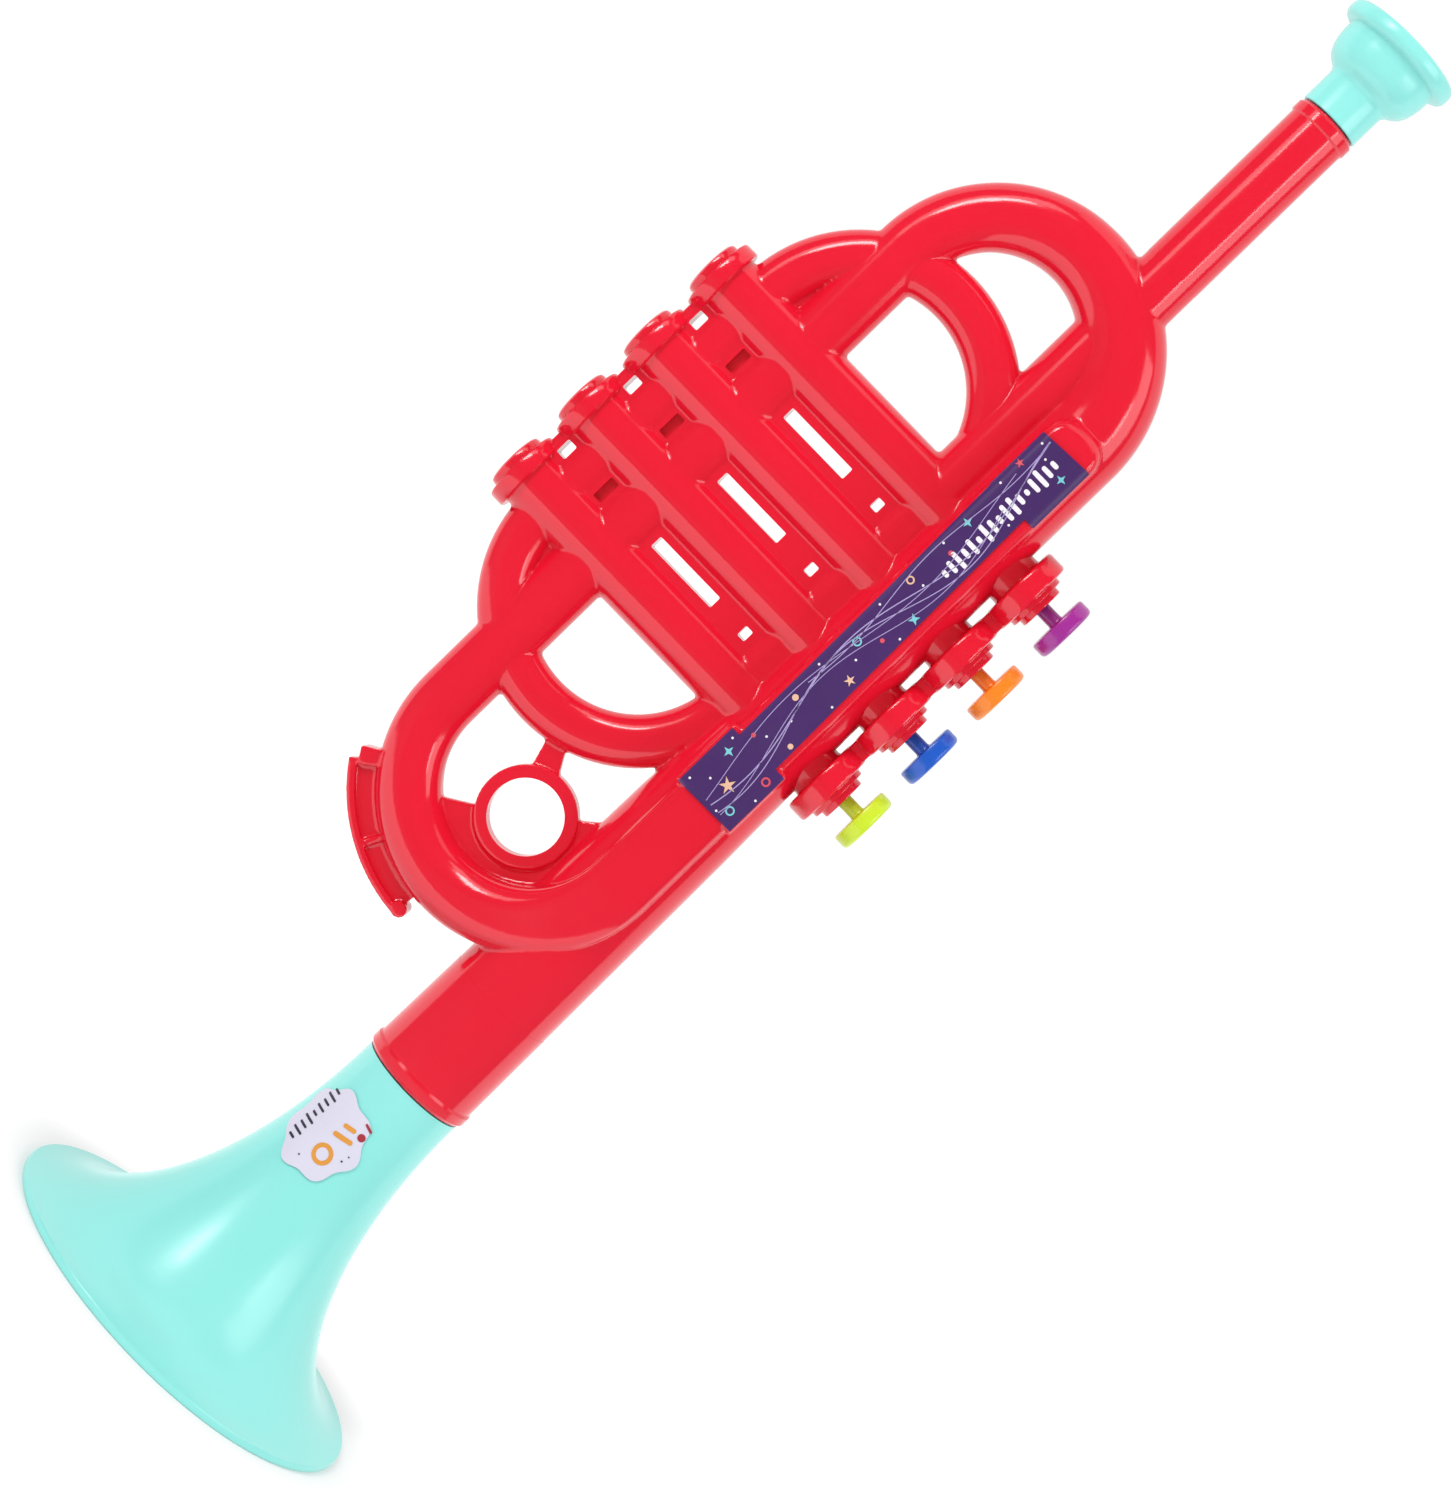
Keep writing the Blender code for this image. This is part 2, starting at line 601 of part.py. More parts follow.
def row_webs():
    """Plates that tie the rows, their caps and the buttons' collars."""
    low = low_row_z - WEB_MARGIN
    high = top_row_z + WEB_MARGIN
    web = box("row_web", (END_HOLE_LEFT_X - RIB, -WEB_HALF_DEPTH, low), (-BAR_X, WEB_HALF_DEPTH, high))
    flange = -CAP_REACH + CAP_DOME
    link_low = low_row_z + RIB
    link_high = top_row_z - RIB
    caps = box("cap_link", (flange + CAP_EDGE + FIT, -CAP_LINK_HALF_DEPTH, link_low),
               (flange + CAP_FLANGE - CAP_EDGE - FIT, CAP_LINK_HALF_DEPTH, link_high))
    collars = box("collar_link", (COLLAR_FLANGE_X + FIT, -CAP_LINK_HALF_DEPTH, link_low),
                  (COLLAR_FLANGE_X + COLLAR_LINK_WIDTH, CAP_LINK_HALF_DEPTH, link_high))
    return [web, caps, collars]


def ring_webs():
    """Crescents of web between the inner ring and the left leg, above and below the rows."""
    solids = []
    reach = math.acos((RING_X - leg_x) / RING_RADIUS)
    for name, centre_z, side in (("upper", upper_ring_z, 1), ("lower", lower_ring_z, -1)):
        outline = arc((RING_X, centre_z), RING_RADIUS, math.pi, math.pi - side * reach, BEND_STEPS - 3)
        outline[-1] = (leg_x + RIB, outline[-1][1])
        outline.append((leg_x + RIB, centre_z))
        solids.append(plate(name + "_crescent", outline, CRESCENT_HALF_DEPTH))
    return solids


def finger_ring():
    centre = (FINGER_X, finger_z)
    ring = rod("finger_ring", FINGER_RING_RADIUS, -FINGER_HALF_DEPTH, FINGER_HALF_DEPTH, "Y", centre,
               ROUND_STEPS)
    reach = LOOP_RADIUS - LOWER_LOOP_RADIUS / 2
    hub = Vector((FINGER_X - loop_x, finger_z - lower_loop_z))
    ends = []
    for ray in (FINGER_WEB_END, FINGER_WEB_START):
        step = Vector((math.cos(ray), math.sin(ray)))
        along = -hub.dot(step) + math.sqrt(hub.dot(step) ** 2 - hub.length_squared + reach ** 2)
        meet = hub + step * along
        ends.append(math.atan2(meet.y, meet.x))
    outline = [centre] + arc((loop_x, lower_loop_z), reach, ends[0], ends[1], BEND_STEPS)
    web = plate("finger_web", outline, FINGER_WEB_HALF_DEPTH)
    side = Vector((math.cos(FINGER_NECK_ANGLE), math.sin(FINGER_NECK_ANGLE)))
    across = Vector((-side.y, side.x)) * FINGER_NECK_WIDTH / 2
    near = Vector(centre) + side * (FINGER_RING_RADIUS - RIB)
    far = Vector(centre) + side * (FINGER_RING_RADIUS + RING_TUBE_RADIUS + RIB)
    foot = across * FINGER_NECK_FOOT_SHARE
    corners = [near + foot, near - foot, far - across, far + across]
    neck = plate("finger_neck", [tuple(corner) for corner in corners], FINGER_WEB_HALF_DEPTH)
    return [ring, web, neck]


def water_key():
    centre = (loop_x, lower_loop_z)
    outline = (arc(centre, KEY_OUTER_RADIUS - KEY_RIM / 2, KEY_START, KEY_END, KEY_STEPS - 1)
               + arc(centre, KEY_INNER_RADIUS, KEY_END, KEY_START, KEY_STEPS // 2))
    pad = plate("key_pad", outline, KEY_HALF_DEPTH)
    inner = KEY_INNER_RADIUS - FIT
    lap = FIT / KEY_OUTER_RADIUS
    edge = (arc(centre, KEY_OUTER_RADIUS, KEY_START - lap, KEY_END + lap, KEY_STEPS)
            + arc(centre, KEY_OUTER_RADIUS - KEY_RIM, KEY_END + lap, KEY_START - lap, KEY_STEPS))
    rim = plate("key_rim", edge, KEY_RIM_HALF_DEPTH)
    half_turn = KEY_RIB_WIDTH / 2 / KEY_OUTER_RADIUS
    ribs = (arc(centre, KEY_OUTER_RADIUS - FIT, KEY_RIB_ANGLE - half_turn, KEY_RIB_ANGLE + half_turn, 1)
            + arc(centre, inner, KEY_RIB_ANGLE + half_turn, KEY_RIB_ANGLE - half_turn, 1))
    rib = plate("key_rib", ribs, KEY_RIM_HALF_DEPTH - FIT)
    middle = KEY_OUTER_RADIUS - KEY_BOSS_RADIUS
    spot = (centre[0] + middle * math.cos(KEY_END), centre[1] + middle * math.sin(KEY_END))
    boss = rod("key_boss", KEY_BOSS_RADIUS, -KEY_RIM_HALF_DEPTH - FIT, KEY_RIM_HALF_DEPTH + FIT, "Y",
               spot, SMALL_STEPS)
    nub_turn = KEY_NUB_WIDTH / KEY_OUTER_RADIUS
    nub_end = KEY_START + 3 * lap
    nub = plate("key_nub", arc(centre, KEY_OUTER_RADIUS - KEY_RIM - FIT, KEY_START - nub_turn, nub_end, 1)
                + arc(centre, inner, nub_end, KEY_START - nub_turn, 1), KEY_RIM_HALF_DEPTH + FIT)
    return [pad, rim, rib, boss, nub]


def screw_places():
    """Where the screws stand, as (x, z)."""
    slot_mid = (SLOT_LEFT_X + SLOT_RIGHT_X) / 2
    return [
        (loop_x, upper_loop_z + LOOP_RADIUS), (leg_x, (upper_ring_z + upper_loop_z) / 2),
        (slot_mid, top_row_z), (slot_mid, low_row_z),
        (leg_x, (lower_ring_z + lower_loop_z) / 2), (loop_x, lower_loop_z - LOOP_RADIUS),
    ]


def body_inside():
    """The hollow of the half shells, with ribs and bosses left standing in it."""
    base = sweep("wide_room", wide_stations(WALL, OVERRUN), inner_round_shape)
    solids = [sweep("bar_room", bar_stations(WALL), inner_section),
              sweep("ring_room", ring_stations(WALL), inner_section, closed=True)]
    for i, z in enumerate(row_zs):
        solids.append(rod(f"row_room_{i}", ROW_RADIUS - WALL, -CAP_REACH + CAP_DOME + WALL, BAR_X + RIB,
                          "X", (0, z), INNER_STEPS))
        solids.append(rod(f"spring_room_{i}", SPRING_ROOM_RADIUS, BAR_X - RIB, SPRING_ROOM_END_X, "X",
                          (0, z), INNER_STEPS))
    combine(base, solids)
    stays = [rod("lead_sleeve", LEAD_RADIUS, frame_top_z, lead_mouth_z, "Z", (LEAD_X, 0))]
    deep = 2 * BAR_HALF_DEPTH
    rail_left = PORT_FACE_X - FIT
    rail_right = plate_right_x + FIT
    wall_low = lower_ring_z - RING_RADIUS
    wall_high = upper_ring_z + RING_RADIUS
    wall_x = LEAD_X - LEAD_RADIUS
    stays.append(box("lead_bulkhead", (wall_x - RIB, -deep, wall_low), (wall_x, deep, wall_high)))
    top = frame_top_z + FIT
    stays.append(box("top_bulkhead", (LEAD_X, -deep, top), (deep, deep, top + RIB)))
    low = bar_foot_z + RIB
    stays.append(box("low_bulkhead", (LEAD_X - LEAD_RADIUS, -deep, low), (rail_left, deep, low + RIB)))
    lap = RIB / 2
    stays.append(box("low_wall", (rail_left - RIB, -deep, low + lap), (rail_left, deep, frame_low_z + lap)))
    for side in (1, -1):
        for name, left, right in (("left_rail", rail_left - RIB + FIT, rail_left),
                                  ("right_rail", rail_right, rail_right + RIB)):
            ys = sorted((side * RAIL_REACH, side * deep))
            stays.append(box(name, (left, ys[0], frame_low_z - RIB), (right, ys[1], top + lap)))
        ys = sorted((side * (FRAME_HALF_DEPTH + FIT), side * deep))
        for i in range(0, ROW_COUNT + 1, 2):
            rib_z = low_row_z + (i - 1 / 2) * ROW_PITCH
            stays.append(box(f"cross_rib_{i}", (rail_left - lap, ys[0], rib_z - lap),
                             (rail_right + lap, ys[1], rib_z + lap)))
        ys = sorted((side * (RAIL_REACH + FIT), side * deep))
        stays.append(box("ledge", (rail_left - lap, ys[0], frame_low_z - FIT - RIB),
                         (rail_right + lap, ys[1], frame_low_z - FIT)))
    for i, place in enumerate(screw_places()):
        stays.append(rod(f"boss_{i}", SCREW_BOSS_RADIUS, -deep, deep, "Y", place, INNER_STEPS))
    ring_low = pipe_mouth_z + SPIGOT_GROOVE_RISE + FIT
    ring_high = ring_low + SPIGOT_GROOVE_HEIGHT - 2 * FIT
    seat = bore_radius(spigot_radius() - SPIGOT_GROOVE_DEPTH, ROUND_STEPS)
    outer = PIPE_MOUTH_RADIUS
    stays.append(turned("bell_catch", [(seat, ring_low), (outer, ring_low), (outer, ring_high),
                                       (seat, ring_high)]))
    base = combine(base, stays, "DIFFERENCE")
    lead = rod("lead_bore", LEAD_RADIUS - WALL, top_row_z - RIB, lead_mouth_z + OVERRUN, "Z", (LEAD_X, 0))
    catch_high = lead_mouth_z - SPIGOT_GROOVE_RISE
    catch_low = catch_high - SPIGOT_GROOVE_HEIGHT + 2 * FIT
    lead_seat = bore_radius(mouth_spigot_radius() - SPIGOT_GROOVE_DEPTH, ROUND_STEPS)
    catch = turned("mouth_catch", [(lead_seat, catch_low), (LEAD_RADIUS, catch_low),
                                   (LEAD_RADIUS, catch_high), (lead_seat, catch_high)],
                   ROUND_STEPS, "Z", (LEAD_X, 0, 0))
    combine(lead, [catch], "DIFFERENCE")
    return combine(base, [lead])


def bore_radius(radius, steps, clearance=FIT):
    """Corner radius of a bore with flat facets that clears a round piece at the middle of each facet."""
    return (radius + clearance) / math.cos(math.pi / steps)


def plug_radius(bore, steps):
    """Radius of a round piece that clears a bore whose facets have this corner radius."""
    return bore * math.cos(math.pi / steps) - FIT


def spigot_radius():
    """The bell's spigot clears the narrowest bore that it enters."""
    slope = (PIPE_MOUTH_RADIUS - PIPE_MID_RADIUS) / PIPE_MID_RISE
    return plug_radius(PIPE_MOUTH_RADIUS - WALL - slope * SPIGOT_LENGTH, TUBE_STEPS)


def mouth_spigot_radius():
    return plug_radius(LEAD_RADIUS - WALL, TUBE_STEPS)


def through_cuts():
    """Holes that go through both half shells."""
    cuts = []
    deep = BAR_HALF_DEPTH + OVERRUN
    for i in range(ROW_COUNT - 1):
        z = row_zs[i] + ROW_PITCH / 2
        for name, left, right, height in (
                ("slot", SLOT_LEFT_X, SLOT_RIGHT_X, SLOT_HEIGHT),
                ("end_hole", END_HOLE_LEFT_X, END_HOLE_RIGHT_X, END_HOLE_HEIGHT),
                ("small_hole", SMALL_HOLE_LEFT_X, SMALL_HOLE_RIGHT_X, SMALL_HOLE_HEIGHT)):
            cuts.append(box(f"{name}_{i}", (left, -deep, z - height / 2), (right, deep, z + height / 2)))
        for side in (1, -1):
            ys = sorted((side * DENT_FLOOR, side * deep))
            cuts.append(box(f"dent_{i}", (DENT_LEFT_X, ys[0], z - DENT_HEIGHT / 2),
                            (DENT_RIGHT_X, ys[1], z + DENT_HEIGHT / 2)))
    for i, z in enumerate(row_zs):
        cuts.append(rod(f"stem_hole_{i}", bore_radius(STEM_RADIUS, INNER_STEPS), BAR_X + RIB,
                        COLLAR_END_X + OVERRUN, "X", (0, z), INNER_STEPS))
    cuts.append(rod("finger_hole", FINGER_HOLE_RADIUS, -deep, deep, "Y", (FINGER_X, finger_z), ROUND_STEPS))
    return cuts


def shells():
    """Hollow the body, part it at Y = 0 and drill each half for the screws."""
    whole = combine(body_outside(), [body_inside()], "DIFFERENCE")
    combine(whole, through_cuts(), "DIFFERENCE")
    big = 2 * (lead_mouth_z + CAP_REACH)
    halves = []
    for name, side in (("front_shell", -1), ("rear_shell", 1)):
        half = copy_of(whole, name)
        ys = sorted((side * SEAM_GAP / 2, -side * big))
        cuts = [box("parting", (-big, ys[0], -big), (big, ys[1], big))]
        combine(half, cuts, "DIFFERENCE")
        drills = []
        for i, place in enumerate(screw_places()):
            if side < 0:
                drills.append(rod(f"pilot_{i}", SCREW_RADIUS + FIT, -SCREW_BITE - FIT, OVERRUN, "Y", place,
                                  SMALL_STEPS))
            else:
                drills.append(rod(f"passage_{i}", SCREW_RADIUS + FIT, -OVERRUN, SCREW_SEAT + OVERRUN, "Y",
                                  place, SMALL_STEPS))
                drills.append(rod(f"head_room_{i}", SCREW_HEAD_RADIUS + FIT, SCREW_SEAT,
                                  BAR_HALF_DEPTH + OVERRUN, "Y", place, SMALL_STEPS))
        combine(half, drills, "DIFFERENCE")
        halves.append(tidied(half))
    bpy.data.objects.remove(whole, do_unlink=True)
    return halves


def bell_curve(offset, steps):
    """The flare's outer line as (radius, height), moved inwards by the offset."""
    start = Vector((BELL_THROAT_RADIUS - FIT, BELL_HEIGHT))
    end = Vector((BELL_RIM_RADIUS - BELL_LIP_ROUND / 3, BELL_LIP_HEIGHT))
    handles = [start, start - Vector((0, BELL_THROAT_PULL)),
               end - BELL_RIM_PULL * Vector((math.cos(BELL_RIM_SLOPE), -math.sin(BELL_RIM_SLOPE))), end]
    points = []
    for i in range(steps + 1):
        t = i / steps
        place = (handles[0] * (1 - t) ** 3 + handles[1] * 3 * t * (1 - t) ** 2
                 + handles[2] * 3 * t * t * (1 - t) + handles[3] * t ** 3)
        slope = ((handles[1] - handles[0]) * (1 - t) ** 2 + (handles[2] - handles[1]) * 2 * t * (1 - t)
                 + (handles[3] - handles[2]) * t * t).normalized()
        inward = Vector((slope.y, -slope.x))
        points.append(place + inward * offset)
    return points


def make_bell():
    steps = BELL_CURVE_STEPS
    outer = [tuple(p) for p in bell_curve(0.0, steps)]
    inner = [tuple(p) for p in bell_curve(BELL_WALL, steps)]
    spigot = spigot_radius()
    bore = spigot - BELL_WALL
    groove = spigot - SPIGOT_GROOVE_DEPTH
    low = BELL_HEIGHT + FIT + SPIGOT_GROOVE_RISE
    high = low + SPIGOT_GROOVE_HEIGHT
    top = BELL_HEIGHT + SPIGOT_LENGTH
    lead_in = SPIGOT_GROOVE_DEPTH
    lip = [(BELL_RIM_RADIUS, BELL_LIP_ROUND * 2), (BELL_RIM_RADIUS, BELL_LIP_ROUND),
           (BELL_RIM_RADIUS - BELL_LIP_ROUND, 0), (BELL_RIM_RADIUS - BELL_WALL - BELL_LIP_ROUND, 0)]
    inner_run = [p for p in reversed(inner[1:]) if p[1] > BELL_LIP_ROUND / 2 and p[0] > bore]
    profile = ([(bore, top), (spigot - lead_in, top), (spigot, top - lead_in), (spigot, high),
                (groove, high), (groove, low), (spigot, low), (spigot, BELL_HEIGHT)]
               + outer + lip + inner_run)
    return [turned("bell", profile, BELL_STEPS, phase_share=0)]


def make_mouthpiece():
    base = lead_mouth_z + FIT
    spigot = mouth_spigot_radius()
    groove = spigot - SPIGOT_GROOVE_DEPTH
    high = base - SPIGOT_GROOVE_RISE
    low = high - SPIGOT_GROOVE_HEIGHT
    foot = base - MOUTH_SPIGOT
    lead_in = SPIGOT_GROOVE_DEPTH
    cup_low = base + MOUTH_NECK
    cup_high = cup_low + MOUTH_CUP
    rim_top = cup_high + MOUTH_RIM
    swell = MOUTH_CUP_RADIUS - MOUTH_CUP_START_RADIUS
    start = cup_low + MOUTH_CUP_FOOT
    cup = [(MOUTH_CUP_START_RADIUS + swell * math.sin(math.pi / 2 * i / CUP_STEPS),
            start + (cup_high - start) * i / CUP_STEPS) for i in range(CUP_STEPS + 1)]
    low_centre = (MOUTH_RIM_RADIUS - MOUTH_RIM_ROUND, cup_high + MOUTH_RIM_ROUND)
    high_centre = (MOUTH_RIM_RADIUS - MOUTH_RIM_ROUND, rim_top - MOUTH_RIM_ROUND)
    round_off = arc(low_centre, MOUTH_RIM_ROUND, -math.pi / 2, 0, CORNER_STEPS)
    round_in = arc(high_centre, MOUTH_RIM_ROUND, 0, math.pi / 2, CORNER_STEPS)
    bore_angle = math.acos(MOUTH_BORE_RADIUS / MOUTH_BOWL_RADIUS)
    bowl = [(MOUTH_BOWL_RADIUS * math.cos(bore_angle * i / CUP_STEPS),
             rim_top - MOUTH_BOWL_DEPTH * math.sin(bore_angle * i / CUP_STEPS)) for i in range(CUP_STEPS + 1)]
    profile = ([(MOUTH_BORE_RADIUS, foot), (spigot - lead_in, foot), (spigot, foot + lead_in), (spigot, low),
                (groove, low), (groove, high), (spigot, high), (spigot, base), (MOUTH_NECK_RADIUS, base),
                (MOUTH_NECK_RADIUS, cup_low)] + cup + round_off + round_in
               + [(MOUTH_BOWL_RADIUS + MOUTH_RIM_ROUND, rim_top)] + bowl[1:])
    return [turned("mouthpiece", profile, ROUND_STEPS, "Z", (LEAD_X, 0, 0))]


def make_button(name, z):
    """Disc, stem, stop flange and neck in one moulding, built along +X from the bell's axis."""
    disc_end = disc_x + BUTTON_DISC_THICKNESS
    edge = BUTTON_DISC_ROUND
    rounds = [0, math.pi / 2]
    near = [(BUTTON_DISC_RADIUS - edge * (1 - math.sin(a)), disc_x + edge * (1 - math.cos(a)))
            for a in rounds]
    far = [(BUTTON_DISC_RADIUS - edge * (1 - math.cos(a)), disc_end - edge * (1 - math.sin(a)))
           for a in rounds]
    profile = ([(0, stem_end_x), (STEM_NECK_RADIUS, stem_end_x), (STEM_NECK_RADIUS, PORT_FACE_X),
                (STEM_RADIUS, PORT_FACE_X), (STEM_RADIUS, stop_left_x), (STOP_FLANGE_RADIUS, stop_left_x),
                (STOP_FLANGE_RADIUS, stop_right_x), (STEM_RADIUS, stop_right_x),
                (STEM_RADIUS, disc_x)] + near + far + [(0, disc_end)])
    button = turned("button_" + name, profile, TUBE_STEPS, "X")
    button.location = (0, 0, z)
    return button


def make_pad(i, z):
    hole = bore_radius(STEM_NECK_RADIUS, SMALL_STEPS)
    right = pad_right_x
    left = right - PAD_THICKNESS
    pad = turned(f"valve_pad_{i}", [
        (hole, left), (PAD_RADIUS - PAD_BEVEL, left), (PAD_RADIUS, left + PAD_BEVEL), (PAD_RADIUS, right),
        (hole, right)], SMALL_STEPS, "X")
    pad.location = (0, 0, z)
    return pad


def make_clip(i, z):
    """An open spring clip that holds the pad on the stem's neck."""
    hole = bore_radius(STEM_NECK_RADIUS, SMALL_STEPS)
    left = clip_right_x - CLIP_THICKNESS
    clip = turned(f"pad_clip_{i}", [(hole, left), (CLIP_RADIUS, left), (CLIP_RADIUS, clip_right_x),
                                    (hole, clip_right_x)], SMALL_STEPS, "X")
    gap = box("clip_gap", (left - OVERRUN, 0, -CLIP_SLOT / 2),
              (clip_right_x + OVERRUN, CLIP_RADIUS + OVERRUN, CLIP_SLOT / 2))
    combine(clip, [gap], "DIFFERENCE")
    clip.location = (0, 0, z)
    return clip


def make_spring(i, z):
    """Helical spring between the guide boss and the button's stop flange."""
    start = boss_end_x + FIT + SPRING_WIRE_RADIUS
    end = stop_left_x - FIT - SPRING_WIRE_RADIUS
    count = SPRING_TURNS * SPRING_TURN_STEPS
    bm = bmesh.new()
    rings = []
    for k in range(count + 1):
        angle = 2 * math.pi * k / SPRING_TURN_STEPS
        x = start + (end - start) * k / count
        out = Vector((0, math.cos(angle), math.sin(angle)))
        centre = Vector((x, 0, 0)) + out * SPRING_MEAN_RADIUS
        rise = Vector((1, 0, 0))
        ring = []
        for q in range(4):
            turn = math.pi / 2 * q + math.pi / 4
            ring.append(bm.verts.new(centre + (out * math.cos(turn) + rise * math.sin(turn))
                                     * SPRING_WIRE_RADIUS))
        rings.append(ring)
    for low, high in zip(rings, rings[1:]):
        for q in range(4):
            bm.faces.new((low[q], low[(q + 1) % 4], high[(q + 1) % 4], high[q]))
    bm.faces.new(rings[0])
    bm.faces.new(rings[-1])
    spring = add_mesh(f"spring_{i}", bm)
    spring.location = (0, 0, z)
    if i == 1:
        pitch = (end - start) / SPRING_TURNS
        print(f"least gap between spring turns {(pitch - 2 * SPRING_WIRE_RADIUS) * 1000:.2f} mm")
    return spring


def make_reed_frame():
    """The block of four air cells, one for each button, with the ports that the pads close."""
    frame = box("reed_frame", (PORT_FACE_X, -FRAME_HALF_DEPTH, frame_low_z),
                (frame_right_x, FRAME_HALF_DEPTH, frame_top_z))
    cuts = []
    for i, z in enumerate(row_zs):
        cuts.append(box(f"cell_{i}", (PORT_FACE_X + PORT_WALL, -CELL_HALF_DEPTH, z - CELL_HALF_HEIGHT),
                        (frame_right_x + OVERRUN, CELL_HALF_DEPTH, z + CELL_HALF_HEIGHT)))
        cuts.append(rod(f"port_{i}", PORT_RADIUS, PORT_FACE_X - OVERRUN, frame_right_x, "X", (0, z)))
    return combine(frame, cuts, "DIFFERENCE")


def make_reed_plate():
    """The plate over the cells: a stem guide and a reed slot for each button."""
    plate_body = box("reed_plate", (plate_x, -FRAME_HALF_DEPTH, frame_low_z),
                     (plate_right_x, FRAME_HALF_DEPTH, frame_top_z))
    bosses = [rod(f"guide_boss_{i}", GUIDE_BOSS_RADIUS, plate_right_x - REED_PLATE / 2, boss_end_x, "X",
                  (0, z), SMALL_STEPS) for i, z in enumerate(row_zs)]
    combine(plate_body, bosses)
    cuts = []
    for i, z in enumerate(row_zs):
        cuts.append(rod(f"guide_hole_{i}", bore_radius(STEM_RADIUS, SMALL_STEPS), plate_x - OVERRUN,
                        boss_end_x + OVERRUN, "X", (0, z), SMALL_STEPS))
        slot_low = z - REED_SLOT_LENGTH / 2
        cuts.append(box(f"reed_slot_{i}", (plate_x - OVERRUN, REED_Y - REED_SLOT_HALF_WIDTH, slot_low),
                        (plate_right_x + OVERRUN, REED_Y + REED_SLOT_HALF_WIDTH,
                         slot_low + REED_SLOT_LENGTH)))
        cuts.append(rod(f"rivet_hole_{i}", bore_radius(RIVET_RADIUS, SMALL_STEPS), plate_x - OVERRUN,
                        plate_right_x + OVERRUN, "X", (REED_Y, rivet_z(z)), SMALL_STEPS))
    return combine(plate_body, cuts, "DIFFERENCE")


def rivet_z(z):
    return z + REED_SLOT_LENGTH / 2 + REED_ROOT / 2


def make_reed(i, z):
    """A thin brass tongue over its slot, held by a rivet at its upper end."""
    left = plate_right_x + FIT
    reed = box(f"reed_{i}", (left, REED_Y - REED_HALF_WIDTH, z - REED_SLOT_LENGTH / 2 + FIT),
               (left + REED_THICKNESS, REED_Y + REED_HALF_WIDTH, z + REED_SLOT_LENGTH / 2 + REED_ROOT))
    hole = rod("reed_hole", bore_radius(RIVET_RADIUS, SMALL_STEPS), left - OVERRUN, left + OVERRUN, "X",
               (REED_Y, rivet_z(z)), SMALL_STEPS)
    return combine(reed, [hole], "DIFFERENCE")


def make_rivet(i, z):
    """A small headed pin that holds a reed's root on the plate."""
    left = plate_x - FIT - RIVET_HEAD
    right = plate_right_x + 2 * FIT + REED_THICKNESS
    rivet = turned(f"reed_rivet_{i}", [
        (0, left), (RIVET_HEAD_RADIUS, left), (RIVET_HEAD_RADIUS, left + RIVET_HEAD),
        (RIVET_RADIUS, left + RIVET_HEAD), (RIVET_RADIUS, right), (RIVET_HEAD_RADIUS, right),
        (RIVET_HEAD_RADIUS, right + RIVET_HEAD), (0, right + RIVET_HEAD)], PIN_STEPS, "X")
    rivet.location = (0, REED_Y, rivet_z(z))
    return rivet


def make_screw(i, place):
    """A pan-head screw from the back through the rear half into the front half's boss."""
    seat = SCREW_SEAT + FIT
    head = seat + SCREW_HEAD
    screw = turned(f"shell_screw_{i}", [
        (0, -SCREW_BITE), (SCREW_POINT_RADIUS, -SCREW_BITE), (SCREW_RADIUS, -SCREW_BITE + SCREW_RADIUS),
        (SCREW_RADIUS, seat), (SCREW_HEAD_RADIUS, seat), (SCREW_HEAD_RADIUS, head - SCREW_HEAD_ROUND),
        (SCREW_HEAD_RADIUS - SCREW_HEAD_ROUND, head), (0, head)], SMALL_STEPS, "Y")
    screw.location = (place[0], 0, place[1])
    return screw


def make_panel_label():
    """A printed label bent over the bar: a skin of the bar's form, cut to the label's outline."""
    skins = []
    for name, stand in (("panel_label", FIT + LABEL_THICKNESS), ("label_under", FIT)):
        skins.append(sweep(name, bar_stations(-stand), section))
    low = low_row_z - LABEL_FOOT_DROP
    foot = low + LABEL_FOOT_HEIGHT
    high = top_row_z + LABEL_TOP_RISE
    neck = high - LABEL_TOP_HEIGHT
    right = [(LABEL_FOOT_HALF_WIDTH, low), (LABEL_FOOT_HALF_WIDTH, foot), (LABEL_MID_HALF_WIDTH, foot),
             (LABEL_MID_HALF_WIDTH, neck), (LABEL_TOP_HALF_WIDTH, neck), (LABEL_TOP_HALF_WIDTH, high)]
    outline = [(BAR_X + x, z) for x, z in right] + [(BAR_X - x, z) for x, z in reversed(right)]
    deep = BAR_HALF_DEPTH
    label = skins[0]
    combine(label, [skins[1]], "DIFFERENCE")
    return combine(label, [plate("label_outline", outline, BAR_CORNER, -deep)], "INTERSECT")


def make_bell_label():
    """A small sticker with a lobed outline, a skin of the bell's flare."""
    skins = []
    for name, stand in (("bell_label", FIT + LABEL_THICKNESS), ("sticker_under", FIT)):
        curve = [tuple(p) for p in bell_curve(-stand, BELL_CURVE_STEPS)]
        profile = [(0, curve[0][1])] + curve + [(0, curve[-1][1])]
        skins.append(turned(name, profile, 2 * BELL_STEPS))
    combine(skins[0], [skins[1]], "DIFFERENCE")
    outline = []
    points = 4 * STICKER_LOBES
    for i in range(points):
        angle = 2 * math.pi * i / points
        lobe = STICKER_LOBE * math.cos(STICKER_LOBES * angle)
        outline.append((STICKER_X + (STICKER_HALF_WIDTH + lobe) * math.cos(angle),
                        STICKER_Z + (STICKER_HALF_HEIGHT + lobe) * math.sin(angle)))
    reach = BELL_THROAT_RADIUS / 2
    return combine(skins[0], [plate("sticker_outline", outline, reach, -BELL_THROAT_RADIUS)], "INTERSECT")


